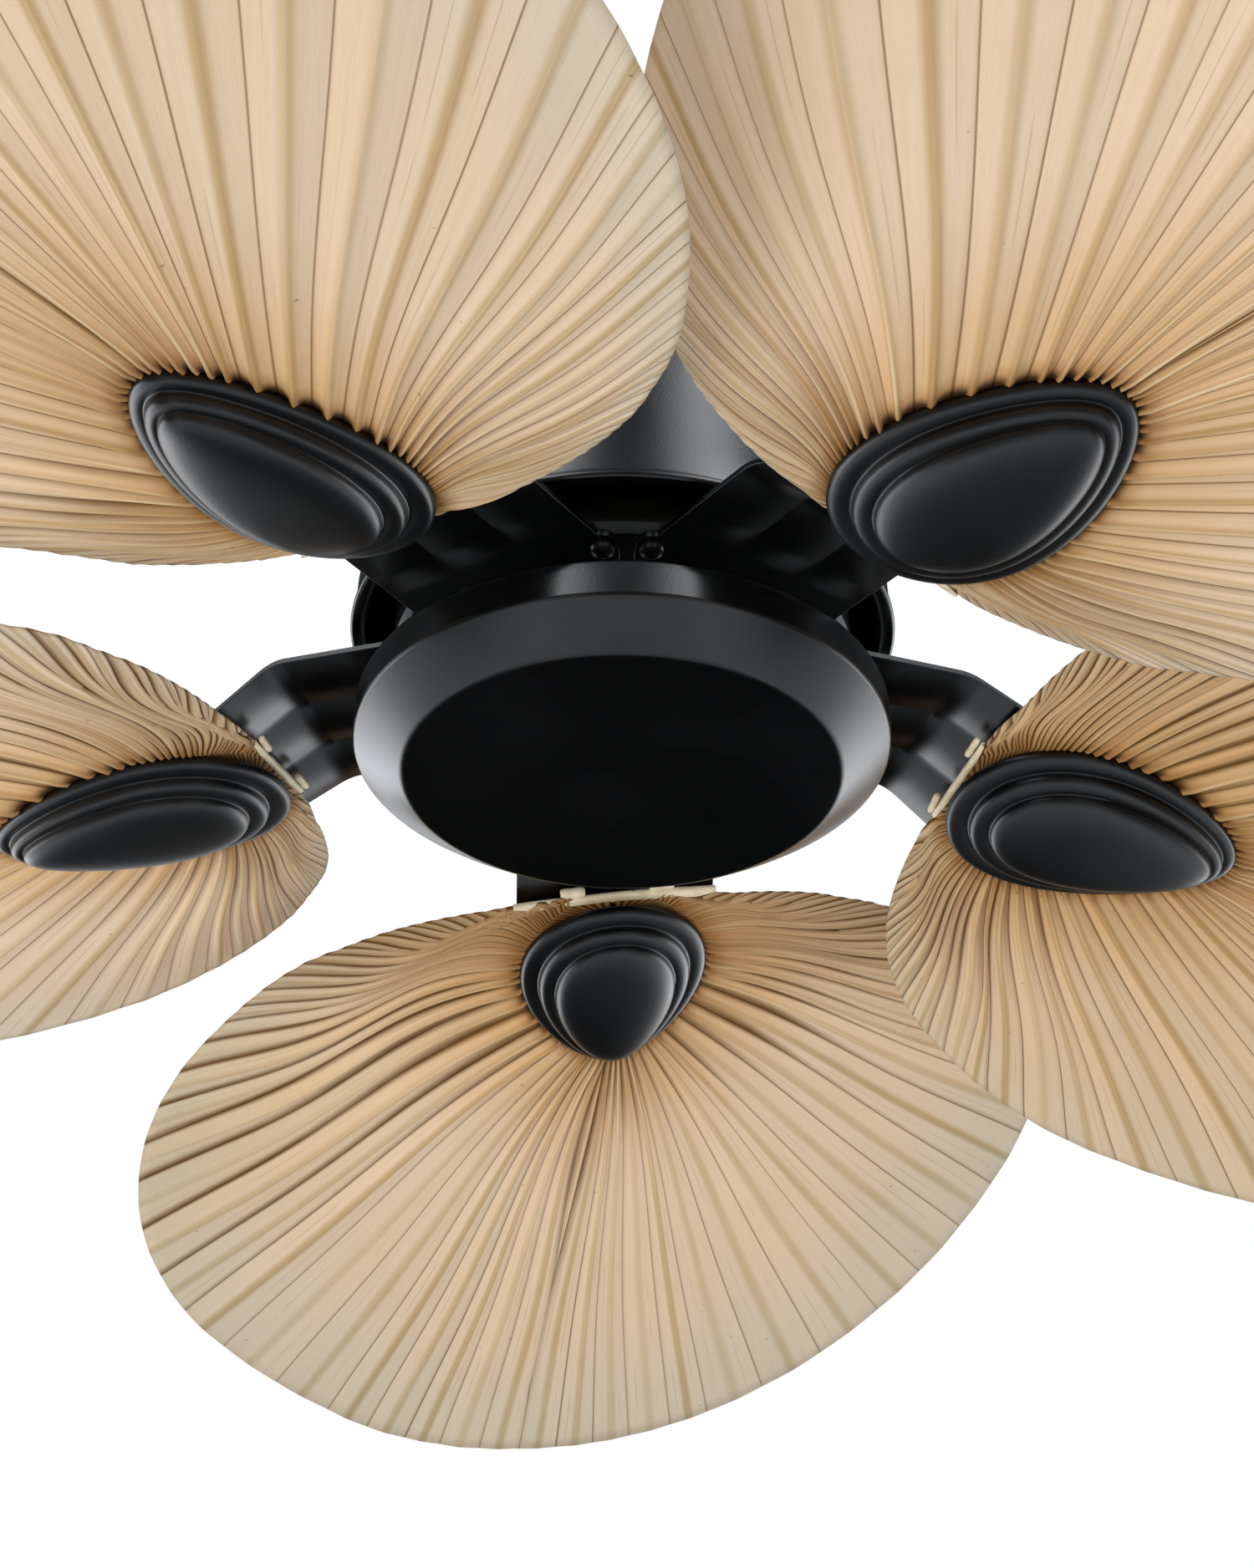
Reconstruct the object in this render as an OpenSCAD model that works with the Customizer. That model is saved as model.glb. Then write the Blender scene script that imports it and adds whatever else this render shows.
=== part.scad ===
// Ceiling fan with five palm-leaf blades: ceiling bracket and canopy, ball joint and short
// downrod, stationary shaft and stator, and an outer rotor that carries the blades.
// Millimetres. The origin is on the ceiling, over the middle of the fan. Z is up.

/* [Leaves] */
// Radius from the fan's axis to the leaf tips
leaf_tip_r = 769; // [745:1:795]
// How far the root edge of a leaf is tucked behind its medallion
root_tuck = 2; // [1:0.5:4]
// Full width of a leaf
leaf_w = 504; // [450:1:530]
// Thickness of a leaf
leaf_t = 1.6; // [1.2:0.1:2.4]
// Depth of the folds at the rim of a leaf
pleat_h = 5; // [2:0.5:9]
// How far the tip hangs below the flat of the leaf
leaf_fall = 20; // [8:1:30]
// Angle by which a leaf slopes down outwards
leaf_droop = 3.83; // [3:0.1:5]
// How far the sides of a leaf curl up
leaf_cup = 8; // [2:0.5:14]
// How far a leaf's wide side hangs below its narrow side
leaf_lean = 7; // [0:0.5:12]
// How far the lobes beside the root lift
lobe_lift = 7.5; // [0:0.5:12]
// Angle by which the root of a leaf bends up behind its bracket's fold
root_bend = 11.5; // [8:0.5:14]
// Blade pitch: the leading edge hangs lower
leaf_pitch = 7.75; // [6:0.25:9]
// Height of the motor's underside over the middle of the leaf's clamp
leaf_drop = 37.8; // [36:0.2:40]

/* [Leaf clamps] */
// Radius from the fan's axis to the middle of a medallion
medal_r = 226.3; // [224:0.5:230]
// Length of a medallion
medal_len = 138.6; // [130:0.5:142]
// Width of a medallion
medal_w = 89.4; // [84:0.5:92]
// Height of each of a medallion's three steps
medal_step = 5; // [4:0.5:6]
// Height of the dome in the middle of a medallion
medal_dome = 5; // [3:0.5:7]
// Wall of a medallion
medal_wall = 3; // [2.4:0.2:3.6]
// Length of the cane that binds a leaf's root
binding_len = 92; // [80:1:94]
// Thickness of the cane strip
binding_t = 1.4; // [1:0.1:2]
// Radius of the rolled cane knots
knot_r = 2.8; // [2:0.1:3.4]

/* [Blade brackets] */
// Width of a blade bracket
bracket_w = 95; // [90:1:98]
// Sheet thickness of a blade bracket
bracket_t = 2.5; // [2:0.1:3]
// Radius at which a bracket folds down
bracket_fold_r = 145; // [140:1:148]
// Depth of the three pressed flutes
flute_h = 2; // [1:0.25:3]
// Radius of the ring of bracket screws
bracket_screw_r = 90; // [88:0.5:91]
// Distance between the two screws of a bracket
bracket_screw_span = 89; // [86:0.5:90]

/* [Motor] */
// Outer radius of the motor
motor_r = 99.5; // [97:0.5:101]
// Height of the motor
motor_h = 66; // [60:1:70]
// Wall of the motor's cast covers
motor_wall = 4; // [3.5:0.25:5]
// Height of the rotor ring
ring_h = 24; // [20:1:28]
// Thickness of the rotor ring
ring_t = 23; // [20:0.5:23]
// Gap between rotor and stator
air_gap = 0.6; // [0.4:0.1:1]
// Height of the stator's core
stator_h = 22; // [18:1:24]
// Number of stator poles
poles = 12; // [9:1:14]
// Radius of the stationary shaft
shaft_r = 8.5; // [8:0.25:9]
// Radius of the wire way in the shaft
wire_r = 5; // [4:0.25:6]
// Outer radius of the ball bearings
bearing_r = 20; // [19:0.5:21]
// Width of the ball bearings
bearing_w = 12; // [10:0.5:13]

/* [Lower pan] */
// Radius of the pan's lip
pan_r = 115; // [112:0.5:118]
// Radius of the pan's flat bottom
pan_flat_r = 93.8; // [90:0.5:97]
// Depth of the sloping band below the lip
pan_cone_h = 14; // [12:0.5:16]
// Height of the wall above the lip
pan_wall_h = 20; // [18:0.5:22]
// How much the wall leans in
pan_lean = 5; // [3:0.5:6]
// Sheet thickness of the pan and the housings
sheet_t = 1.4; // [1.2:0.1:1.8]
// Free height between the pan and the motor's underside
pan_gap = 24; // [22:0.5:27]

/* [Upper housing] */
// Radius of the housing's rim
housing_r = 119; // [117:0.5:122]
// Height of the housing
housing_h = 116; // [112:1:120]
// Radius of the housing's flat top
housing_top_r = 56; // [50:1:60]
// Thickness of the housing's flat top
housing_top_t = 4; // [3:0.25:5]
// How far the motor shows below the rim
motor_show = 12; // [10:0.5:14]
// Radius of the rolled bead on the rim
bead_r = 1.8; // [1.4:0.1:2.2]
// Width of the lip that turns in from the rim
rim_lip = 4.5; // [3:0.5:7]

/* [Downrod] */
// Outer radius of the downrod
rod_r = 10.65; // [10:0.05:11]
// Wall of the downrod
rod_wall = 2.6; // [2:0.1:3]
// Length of the downrod
rod_len = 111; // [105:1:140]
// Radius of the hanger ball
ball_r = 21; // [20.5:0.25:22]
// Depth of the ball's middle below the ceiling
ball_drop = 34; // [33:0.5:36]
// How far the ball can tilt each way, in degrees
swing = 15; // [10:1:15]
// Radius of the coupling cover's foot
cover_r = 50; // [46:1:54]
// Height of the coupling cover
cover_h = 54; // [52:1:60]

/* [Canopy] */
// Radius of the canopy
canopy_r = 70; // [69:0.5:76]
// Height of the canopy
canopy_h = 58; // [56:0.5:62]
// Radius of the hole in the canopy's foot
canopy_hole_r = 20; // [19:0.5:24]
// Distance between the middles of the two ceiling slots
slot_span = 79.5; // [78:0.5:81]
// Length of a ceiling slot
slot_len = 14.7; // [12:0.1:15]
// Width of a ceiling slot
slot_w = 5.2; // [4.8:0.1:5.6]
// Sheet thickness of the ceiling bracket
plate_t = 2.5; // [2:0.1:3]

/* [Fasteners and fits] */
// Radius of a 5 mm machine screw
m5_r = 2.5; // [2.4:0.05:2.6]
// Radius of a 4 mm machine screw
m4_r = 2; // [1.9:0.05:2.1]
// Radius of the clevis and ball pins
pin_r = 3; // [2.8:0.1:3.2]
// Radial play of a shaft, pin or screw in a hole that holds it
fit_gap = 0.05; // [0.02:0.01:0.08]
// Radial play of a screw in a hole that it only passes
pass_gap = 0.3; // [0.2:0.05:0.4]

/* [Hidden] */
$fn = 96;
blades = 5;
black = "#1b1c1e";
leaf_colour = "#d6b88a";
cane_colour = "#e6dabd";
steel = "#b9bcc0";
copper = "#b4713d";
cast = "#9a9da1";

// Heights, from the ceiling down
ball_z = -ball_drop;
rod_above = 14;
rod_top = ball_z + rod_above;
rod_bottom = rod_top - rod_len;
web_t = 3;
shaft_top = rod_bottom - web_t;
yoke_socket = 14;
housing_top = shaft_top - yoke_socket;
rim_z = housing_top - housing_h;
motor_z = rim_z - motor_show;
motor_top = motor_z + motor_h;
pan_top = motor_z - pan_gap;
lip_z = pan_top - pan_wall_h;
pan_bottom = lip_z - pan_cone_h;
leaf_z = motor_z - leaf_drop;

// Screw heads
m5_head_r = 5.2;
m5_head_h = 3.2;
m4_head_r = 4;
m4_head_h = 2.6;

// Yoke
flange_r = 34;
flange_t = 5;
collar_r = 17;
collar_h = 30;
yoke_screw_r = 26;
pin_up = 12;
set_screw_up = 23;
clevis_len = 26;

// Ceiling bracket
arm_x = 27;
arm_w = 36;
seat_t = 4;
seat_top = 11;
seat_w = 46;
ear_w = 16;
ear_h = 14;
ear_screw_z = -9;
tab_t = 4;
groove_r = ball_r - 3;
tongue_y = 50;
tongue_w = 76;
receiver_size = [62, 25, 18];
ball_pin_up = 9;

// Motor
lip_h = 2;
bearing_race = 4;
ball_gap = 0.05;
hub_wall = 5;
cover_split = motor_z + motor_h / 2;
ring_z = motor_z + motor_h / 2 - ring_h / 2;
stator_z = motor_z + motor_h / 2 - stator_h / 2;
ring_out = motor_r - motor_wall - 0.5;
ring_in = ring_out - ring_t;
stator_r = ring_in - air_gap;
cover_screw_r = (ring_in + ring_out) / 2;
cover_screw_n = 4;
boss_r = 6;
edge_cut = 5.5;
lower_bearing_z = motor_z + lip_h;
upper_bearing_z = motor_top - lip_h - bearing_w;

// Pan fittings
mount_t = 2;
mount_z = lip_z + 12;
mount_r = pan_r - 11;
lug_w = 14;
nut_h = 6;
nut_r = 13.5;
capacitor_size = [38, 22, 16];
capacitor_r = 55;

// Leaf: it lies flat under its bracket's pad, inside an oval that stands flat_edge proud of the
// medallion. Its fold lines spring from a short rib, costa_in to costa_out
pad_end = medal_r + medal_len * 0.3;
bracket_land_r = medal_r - medal_len * 0.276;
leaf_root_r = medal_r - medal_len / 2 + root_tuck;
leaf_len = leaf_tip_r - leaf_root_r;
leaf_under = 2;
leaf_over = leaf_under + leaf_t;
flat_edge = 7;
flat_a = medal_len / 2 + flat_edge;
flat_b = medal_w / 2 + 1.5 * flat_edge;
costa_in = bracket_land_r + medal_len * 0.09;
costa_out = medal_r + medal_len * 0.36;
costa_bend = 0.85;
root_half = binding_len / 2 + 14;
root_line = bracket_land_r - 5;
lobe_end = medal_r + medal_len * 0.75;
bend_r = medal_r + flat_a;
lines_per_span = 2;
// Outline of a leaf 610 long and 504 wide: distance from the root edge, and across
shape_len = 610;
shape_w = 504;
leaf_shape = [
  [0, 0], [0, 24], [0, 48], [3, 71], [8, 93], [16, 116], [30, 142], [51, 168], [82, 194],
  [121, 219], [168, 239], [221, 252], [278, 258], [337, 255], [397, 242], [456, 216],
  [511, 182], [564, 137], [600, 76], [610, 8], [593, -56], [552, -118], [499, -165],
  [438, -201], [372, -226], [304, -242], [235, -246], [170, -231], [111, -203], [65, -169],
  [36, -135], [18, -105], [9, -78], [5, -58], [2, -41], [1, -21]
];

// Where the clamp screws pass through bracket, leaf and medallion
clamp_in = medal_r - medal_len * 0.215;
clamp_out = medal_r + medal_len * 0.175;
clamp_screws = [[clamp_in, 0], [clamp_out, medal_w * 0.2], [clamp_out, -medal_w * 0.2]];

// ---------- frames of reference ----------

module at_blade(k) rotate([0, 0, 90 + 360 / blades * k]) children();

// Inside on_leaf, X runs out along the leaf from the fan's axis, Y across and Z off its flat
module on_leaf(k)
  at_blade(k)
    translate([medal_r, 0, leaf_z])
      rotate([0, leaf_droop, 0])
        rotate([-leaf_pitch, 0, 0])
          translate([-medal_r, 0, 0]) children();

// Height, in the blade's upright frame, of the plane w above the leaf's flat
flat_n = [
  cos(leaf_pitch) * sin(leaf_droop), sin(leaf_pitch), cos(leaf_pitch) * cos(leaf_droop)
];
function flat_z(x, y, w) = leaf_z + (w - (x - medal_r) * flat_n[0] - y * flat_n[1]) / flat_n[2];

// ---------- shared shapes ----------

// A pan-head screw that points up, with its head below the origin
module pan_screw(r, length, head_r, head_h) {
  difference() {
    rotate_extrude($fn = 32)
      polygon([
        [0, -head_h], [head_r * 0.55, -head_h], [head_r * 0.88, -head_h * 0.75], [head_r, -head_h * 0.35],
        [head_r, 0], [r, 0], [r, length], [0, length]
      ]);
    for (turn = [0, 90])
      rotate([0, 0, turn])
        translate([-head_r * 0.55, -head_r * 0.1, -head_h - 1])
          cube([head_r * 1.1, head_r * 0.2, head_h * 0.5 + 1]);
  }
}

// A box with rounded upright edges, its top face at z = 0
module hanging_box(size, r) {
  for (inset = [[0, r], [r, 0]])
    translate([-size[0] / 2 + inset[0], -size[1] / 2 + inset[1], -size[2]])
      cube([size[0] - 2 * inset[0], size[1] - 2 * inset[1], size[2]]);
  for (x = [-1, 1], y = [-1, 1])
    translate([x * (size[0] / 2 - r), y * (size[1] / 2 - r), -size[2]])
      cylinder(r = r, h = size[2], $fn = 32);
}

module ring(r_in, r_out, h)
  rotate_extrude()
    translate([r_in, 0]) square([r_out - r_in, h]);

// ---------- ceiling parts ----------

module bracket_plate() {
  plate_half = canopy_r - sheet_t - 0.7;
  difference() {
    translate([0, 0, -plate_t])
      linear_extrude(plate_t)
        union() {
          polygon([
            [-plate_half, -ear_w / 2], [-50, -seat_w / 2], [50, -seat_w / 2], [plate_half, -ear_w / 2],
            [plate_half, ear_w / 2], [50, seat_w / 2], [-50, seat_w / 2], [-plate_half, ear_w / 2]
          ]);
          translate([-tongue_w / 2, 0]) square([tongue_w, tongue_y]);
        }
    for (side = [-1, 1])
      translate([side * slot_span / 2, 0, -plate_t - 1]) {
        translate([-(slot_len - slot_w) / 2, -slot_w / 2]) cube([slot_len - slot_w, slot_w, plate_t + 2]);
        for (end = [-1, 1])
          translate([end * (slot_len - slot_w) / 2, 0]) cylinder(d = slot_w, h = plate_t + 2);
      }
    translate([0, 0, -plate_t - 1]) cylinder(r = 10, h = plate_t + 2);
    receiver_screw_holes(m4_r + fit_gap);
  }
  for (side = [-1, 1])
    difference() {
      translate([side * (plate_half - plate_t / 2) - plate_t / 2, -ear_w / 2, -ear_h])
        cube([plate_t, ear_w, ear_h - plate_t / 2]);
      translate([side * plate_half, 0, ear_screw_z])
        rotate([0, 90, 0]) cylinder(r = m4_r + fit_gap, h = 4 * plate_t, center = true);
    }
}

module hanger_bracket() color(steel) {
  seat_z = ball_z - seat_top - seat_t;
  bracket_plate();
  for (side = [-1, 1])
    translate([side * (arm_x + plate_t / 2) - plate_t / 2, -arm_w / 2, seat_z])
      cube([plate_t, arm_w, -seat_z - plate_t / 2]);
  difference() {
    translate([-arm_x - plate_t, -seat_w / 2, seat_z]) cube([2 * (arm_x + plate_t), seat_w, seat_t]);
    translate([0, 0, ball_z]) sphere(r = ball_r + ball_gap * 2);
    translate([0, 0, seat_z - 1]) cylinder(r = swing_hole_r(seat_top + seat_t), h = seat_t + 2);
    translate([-rod_r - pass_gap, 0, seat_z - 1]) cube([2 * (rod_r + pass_gap), seat_w, seat_t + 2]);
  }
  intersection() {
    translate([-tab_t / 2, -ball_r, seat_z])
      cube([tab_t, ball_r - swing_hole_r(seat_top + seat_t), seat_t]);
    translate([0, 0, ball_z])
      difference() {
        sphere(r = ball_r + 2);
        sphere(r = groove_r + 0.3);
      }
  }
}

// Radius that the tilted rod needs at a depth below the ball's middle
function swing_hole_r(depth) = depth * tan(swing) + rod_r / cos(swing) + 0.5;

module receiver_screw_holes(r)
  for (side = [-1, 1])
    translate([side * (receiver_size[0] / 2 + 3.5), receiver_y, -plate_t - 3])
      cylinder(r = r, h = plate_t + 4);

receiver_y = seat_w / 2 + 1.5 + receiver_size[1] / 2;

module canopy() color(black)
  difference() {
    rotate_extrude()
      polygon(concat(canopy_line(0), [for (i = [0:canopy_steps]) canopy_line(sheet_t)[canopy_steps - i]]));
    for (side = [-1, 1])
      translate([side * canopy_r, 0, ear_screw_z])
        rotate([0, 90, 0]) cylinder(r = m4_r + pass_gap, h = 4 * sheet_t, center = true);
  }

// The canopy's profile: straight down, then a quarter of an ellipse into the foot
canopy_steps = 11;
canopy_straight = 20;
function canopy_line(inset) = concat(
  [[canopy_r - inset, 0]],
  [for (i = [0:canopy_steps - 1])
    let (a = 90 * i / (canopy_steps - 1))
    [
      canopy_hole_r + (canopy_r - inset - canopy_hole_r) * cos(a),
      -canopy_straight - (canopy_h - canopy_straight - inset) * sin(a)
    ]]
);

module canopy_screws() color(black)
  for (side = [-1, 1])
    translate([side * (canopy_r + 0.1), 0, ear_screw_z])
      rotate([0, -side * 90, 0]) pan_screw(m4_r, 8, m4_head_r, m4_head_h);

module remote_receiver() color("#e9e9e6")
  difference() {
    translate([0, receiver_y, -plate_t]) {
      hanging_box(receiver_size, 3);
      hanging_box([receiver_size[0] + 14, 10, 2], 3);
    }
    receiver_screw_holes(m4_r + pass_gap);
  }

module receiver_screws() color(steel)
  for (side = [-1, 1])
    translate([side * (receiver_size[0] / 2 + 3.5), receiver_y, -plate_t - 2])
      pan_screw(m4_r, 2 + plate_t - 0.5, 3.4, 2);

// ---------- ball joint and downrod ----------

module hanger_ball() color("#2a2b2d")
  difference() {
    translate([0, 0, ball_z]) sphere(r = ball_r);
    translate([0, 0, ball_z - ball_r - 1]) cylinder(r = rod_r + fit_gap, h = 2 * ball_r + 2);
    translate([0, 0, ball_z + ball_pin_up])
      rotate([0, 90, 0]) cylinder(r = pin_r + fit_gap, h = 3 * ball_r, center = true);
    translate([-1.5 * ball_r, -pin_r - fit_gap, ball_z + ball_pin_up])
      cube([3 * ball_r, 2 * (pin_r + fit_gap), ball_r]);
    translate([0, 0, ball_z])
      rotate([0, 90, 0])
        difference() {
          cylinder(r = ball_r + 1, h = tab_t + 0.4, center = true);
          cylinder(r = groove_r, h = tab_t + 1, center = true);
          translate([-ball_r - 2, 0, -tab_t]) cube([2 * ball_r + 4, ball_r + 2, 2 * tab_t]);
        }
  }

module ball_cross_pin() color(steel)
  translate([0, 0, ball_z + ball_pin_up])
    rotate([0, 90, 0]) cylinder(r = pin_r, h = 34, center = true);

module downrod() color(black)
  difference() {
    translate([0, 0, rod_bottom]) ring(rod_r - rod_wall, rod_r, rod_len);
    for (z = [ball_z + ball_pin_up, rod_bottom + pin_up])
      translate([0, 0, z])
        rotate([0, 90, 0]) cylinder(r = pin_r + fit_gap, h = 3 * rod_r, center = true);
  }

module motor_yoke() color(steel)
  difference() {
    rotate_extrude()
      polygon([
        [shaft_r + fit_gap, housing_top], [flange_r, housing_top], [flange_r, housing_top + flange_t],
        [collar_r, housing_top + flange_t], [collar_r, rod_bottom + collar_h],
        [rod_r + fit_gap, rod_bottom + collar_h], [rod_r + fit_gap, rod_bottom], [wire_r, rod_bottom],
        [wire_r, shaft_top], [shaft_r + fit_gap, shaft_top]
      ]);
    translate([0, 0, rod_bottom + pin_up])
      rotate([0, 90, 0]) cylinder(r = pin_r + fit_gap, h = 3 * collar_r, center = true);
    translate([0, 0, rod_bottom + set_screw_up])
      rotate([90, 0, 0]) cylinder(r = pin_r + fit_gap, h = 3 * collar_r, center = true);
    yoke_screw_places() translate([0, 0, -1]) cylinder(r = m5_r + pass_gap, h = flange_t + 2);
  }

module yoke_screw_places()
  for (i = [0:3])
    rotate([0, 0, 45 + 90 * i]) translate([yoke_screw_r, 0, housing_top]) children();

module yoke_clevis_pin() color(steel)
  difference() {
    translate([0, 0, rod_bottom + pin_up])
      rotate([0, 90, 0]) {
        translate([0, 0, -collar_r - 0.1]) cylinder(r = pin_r, h = collar_r + 0.1 + clevis_len);
        translate([0, 0, -collar_r - 2.6]) cylinder(r = pin_r + 2, h = 2.5);
      }
    translate([clevis_len - 3.5, 0, rod_bottom]) cylinder(r = 1 + fit_gap, h = 2 * pin_up, $fn = 32);
  }

module cotter_pin() color(steel)
  translate([clevis_len - 3.5, 0, rod_bottom + pin_up]) {
    translate([0, 0, -6]) cylinder(r = 1, h = 12, $fn = 32);
    translate([0, 0, 7.8])
      rotate([90, 0, 0]) rotate_extrude($fn = 32) translate([2.2, 0]) circle(r = 1, $fn = 24);
  }

module yoke_set_screws() color(steel)
  for (side = [-1, 1])
    translate([0, side * (rod_r + 0.1), rod_bottom + set_screw_up])
      rotate([-side * 90, 0, 0])
        difference() {
          cylinder(r = pin_r, h = 8);
          translate([0, 0, 5]) cylinder(r = 1.6, h = 4, $fn = 6);
        }

// The cover's profile: an upright foot, then a quarter of an ellipse up to the rod
cover_steps = 10;
cover_foot = 6;
function cover_line(inset) = concat(
  [[cover_r - inset, 0]],
  [for (i = [0:cover_steps])
    let (a = 90 * i / cover_steps)
    [
      rod_r + pass_gap + (cover_r - inset - rod_r - pass_gap) * cos(a),
      cover_foot + (cover_h - cover_foot - inset) * sin(a)
    ]]
);

module coupling_cover() color(black)
  translate([0, 0, housing_top])
    rotate_extrude()
      polygon(concat(
        cover_line(0), [for (i = [0:cover_steps + 1]) cover_line(sheet_t)[cover_steps + 1 - i]]
      ));

// ---------- stationary motor parts ----------

// The bell's side: a nearly upright skirt, then a bend in to the flat top
skirt_h = 38;
skirt_lean = 4;
bell_steps = 10;
function bell_line(inset) = concat(
  [[housing_r - bead_r - inset, 0], [housing_r - skirt_lean - inset, skirt_h]],
  [for (i = [1:bell_steps])
    let (a = 90 * i / bell_steps)
    [
      housing_top_r - inset + (housing_r - skirt_lean - housing_top_r) * pow(cos(a), 0.9),
      skirt_h + (housing_h - skirt_h - (inset > 0 ? housing_top_t : 0)) * sin(a)
    ]]
);

module upper_housing() color(black)
  difference() {
    translate([0, 0, rim_z]) {
      rotate_extrude()
        polygon(concat(
          bell_line(0), [[shaft_r + 3.5, housing_h], [shaft_r + 3.5, housing_h - housing_top_t]],
          [for (i = [0:bell_steps + 1]) bell_line(sheet_t)[bell_steps + 1 - i]]
        ));
      rotate_extrude() translate([housing_r - bead_r, bead_r]) circle(r = bead_r, $fn = 32);
      rotate_extrude()
        translate([housing_r - bead_r - sheet_t - rim_lip, bead_r / 2]) square([rim_lip + sheet_t, sheet_t]);
    }
    yoke_screw_places()
      translate([0, 0, -housing_top_t - 1]) cylinder(r = m5_r + fit_gap, h = housing_top_t + 2);
  }

module housing_screws() color(steel)
  yoke_screw_places()
    translate([0, 0, flange_t])
      rotate([180, 0, 0]) pan_screw(m5_r, flange_t + housing_top_t - 0.5, m5_head_r, m5_head_h);

module motor_shaft() color(steel)
  translate([0, 0, mount_z - nut_h - 3]) ring(wire_r, shaft_r, shaft_top - mount_z + nut_h + 3);

tooth_w = 7.5;
tooth_in = 26;
shoe_t = 5.4;
coil_in = 32;
coil_out = 62;
coil_t = 3;

module stator_core() color("#6d7074")
  translate([0, 0, stator_z])
    difference() {
      linear_extrude(stator_h)
        difference() {
          union() {
            circle(r = tooth_in);
            difference() {
              circle(r = stator_r);
              circle(r = stator_r - shoe_t);
              for (i = [0:poles - 1])
                rotate([0, 0, 360 / poles * (i + 0.5)]) translate([0, -2]) square([stator_r + 1, 4]);
            }
            for (i = [0:poles - 1])
              rotate([0, 0, 360 / poles * i]) translate([0, -tooth_w / 2]) square([stator_r - 2, tooth_w]);
          }
          circle(r = shaft_r + fit_gap);
        }
    }

module stator_windings() color(copper)
  for (i = [0:poles - 1])
    rotate([0, 0, 360 / poles * i])
      translate([coil_in, 0, stator_z + stator_h / 2])
        rotate([90, 0, 90])
          linear_extrude(coil_out - coil_in)
            difference() {
              square([tooth_w + 0.6 + 2 * coil_t, stator_h + 0.6 + 2 * coil_t], center = true);
              square([tooth_w + 0.6, stator_h + 0.6], center = true);
            }

// ---------- bearings ----------

module race_inner(z) color(steel)
  translate([0, 0, z]) ring(shaft_r + fit_gap, shaft_r + fit_gap + bearing_race, bearing_w);

module race_outer(z) color(steel)
  translate([0, 0, z]) ring(bearing_r - bearing_race, bearing_r, bearing_w);

module upper_bearing_inner() race_inner(upper_bearing_z);
module upper_bearing_outer() race_outer(upper_bearing_z);
module lower_bearing_inner() race_inner(lower_bearing_z);
module lower_bearing_outer() race_outer(lower_bearing_z);

module bearing_balls() color("#d9dbde") {
  way_in = shaft_r + fit_gap + bearing_race;
  way_out = bearing_r - bearing_race;
  for (z = [lower_bearing_z, upper_bearing_z], i = [0:9])
    rotate([0, 0, 36 * i])
      translate([(way_in + way_out) / 2, 0, z + bearing_w / 2])
        sphere(r = (way_out - way_in) / 2 - ball_gap, $fn = 24);
}

// ---------- rotor ----------

module cover_screw_places()
  for (i = [0:cover_screw_n - 1])
    rotate([0, 0, 360 / cover_screw_n * i]) translate([cover_screw_r, 0, 0]) children();

module rotor_ring() color("#7d8084")
  difference() {
    translate([0, 0, ring_z]) ring(ring_in, ring_out, ring_h);
    cover_screw_places() translate([0, 0, ring_z - 1]) cylinder(r = m4_r + pass_gap, h = ring_h + 2);
  }

// One cast cover of the motor, lying with its outer face down at z = 0
module motor_cover(boss_h)
  union() {
    rotate_extrude()
      polygon([
        [bearing_r - 6, 0], [motor_r - edge_cut + 2, 0], [motor_r, edge_cut - 2], [motor_r, motor_h / 2],
        [motor_r - motor_wall, motor_h / 2], [motor_r - motor_wall, motor_wall + 2],
        [motor_r - motor_wall - 2, motor_wall], [bearing_r + hub_wall, motor_wall],
        [bearing_r + hub_wall, lip_h + bearing_w], [bearing_r + fit_gap, lip_h + bearing_w],
        [bearing_r + fit_gap, lip_h], [bearing_r - 6, lip_h]
      ]);
    cover_screw_places()
      translate([0, 0, motor_wall / 2]) cylinder(r = boss_r, h = boss_h - motor_wall / 2, $fn = 48);
  }

module upper_motor_cover() color(cast)
  difference() {
    translate([0, 0, motor_top]) mirror([0, 0, 1]) motor_cover((motor_h - ring_h) / 2);
    cover_screw_places() translate([0, 0, cover_split]) cylinder(r = m4_r + pass_gap, h = motor_h);
  }

module lower_motor_cover() color(cast)
  difference() {
    translate([0, 0, motor_z]) {
      motor_cover((motor_h - ring_h) / 2);
      bracket_screw_places() translate([0, 0, motor_wall / 2]) cylinder(r = 4.5, h = 7, $fn = 48);
    }
    cover_screw_places()
      translate([0, 0, motor_z + motor_wall]) cylinder(r = m4_r + fit_gap, h = motor_h);
    translate([0, 0, motor_z]) bracket_screw_places()
      translate([0, 0, -1]) cylinder(r = m5_r + fit_gap, h = 12);
  }

module motor_cover_screws() color(steel)
  cover_screw_places()
    translate([0, 0, motor_top])
      rotate([180, 0, 0]) pan_screw(m4_r, motor_h - motor_wall - 2, m4_head_r, m4_head_h);

// Both screws of every bracket
module bracket_screw_places()
  for (k = [0:blades - 1])
    at_blade(k) own_screw_places() children();

module own_screw_places()
  for (side = [-1, 1])
    translate([
      sqrt(bracket_screw_r * bracket_screw_r - bracket_screw_span * bracket_screw_span / 4),
      side * bracket_screw_span / 2, 0
    ])
      children();

// ---------- blade brackets ----------

seat_in = bracket_screw_r - 12;
seat_out = bracket_screw_r + 8.5;
plate_end = seat_out + 2;
fold_soft = 6;

// Half the width of a bracket at radius x
function bracket_half(x) =
  x <= bracket_land_r ? bracket_w / 2 : bracket_w / 2 - (bracket_w / 2 - 27) * (x - bracket_land_r)
  / (pad_end - bracket_land_r);

// Distance past a soft fold at x = at
function past_fold(x, at) =
  x < at - fold_soft ? 0 : x > at + fold_soft ? x - at : (x - at + fold_soft) ^ 2 / (4 * fold_soft);

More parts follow.
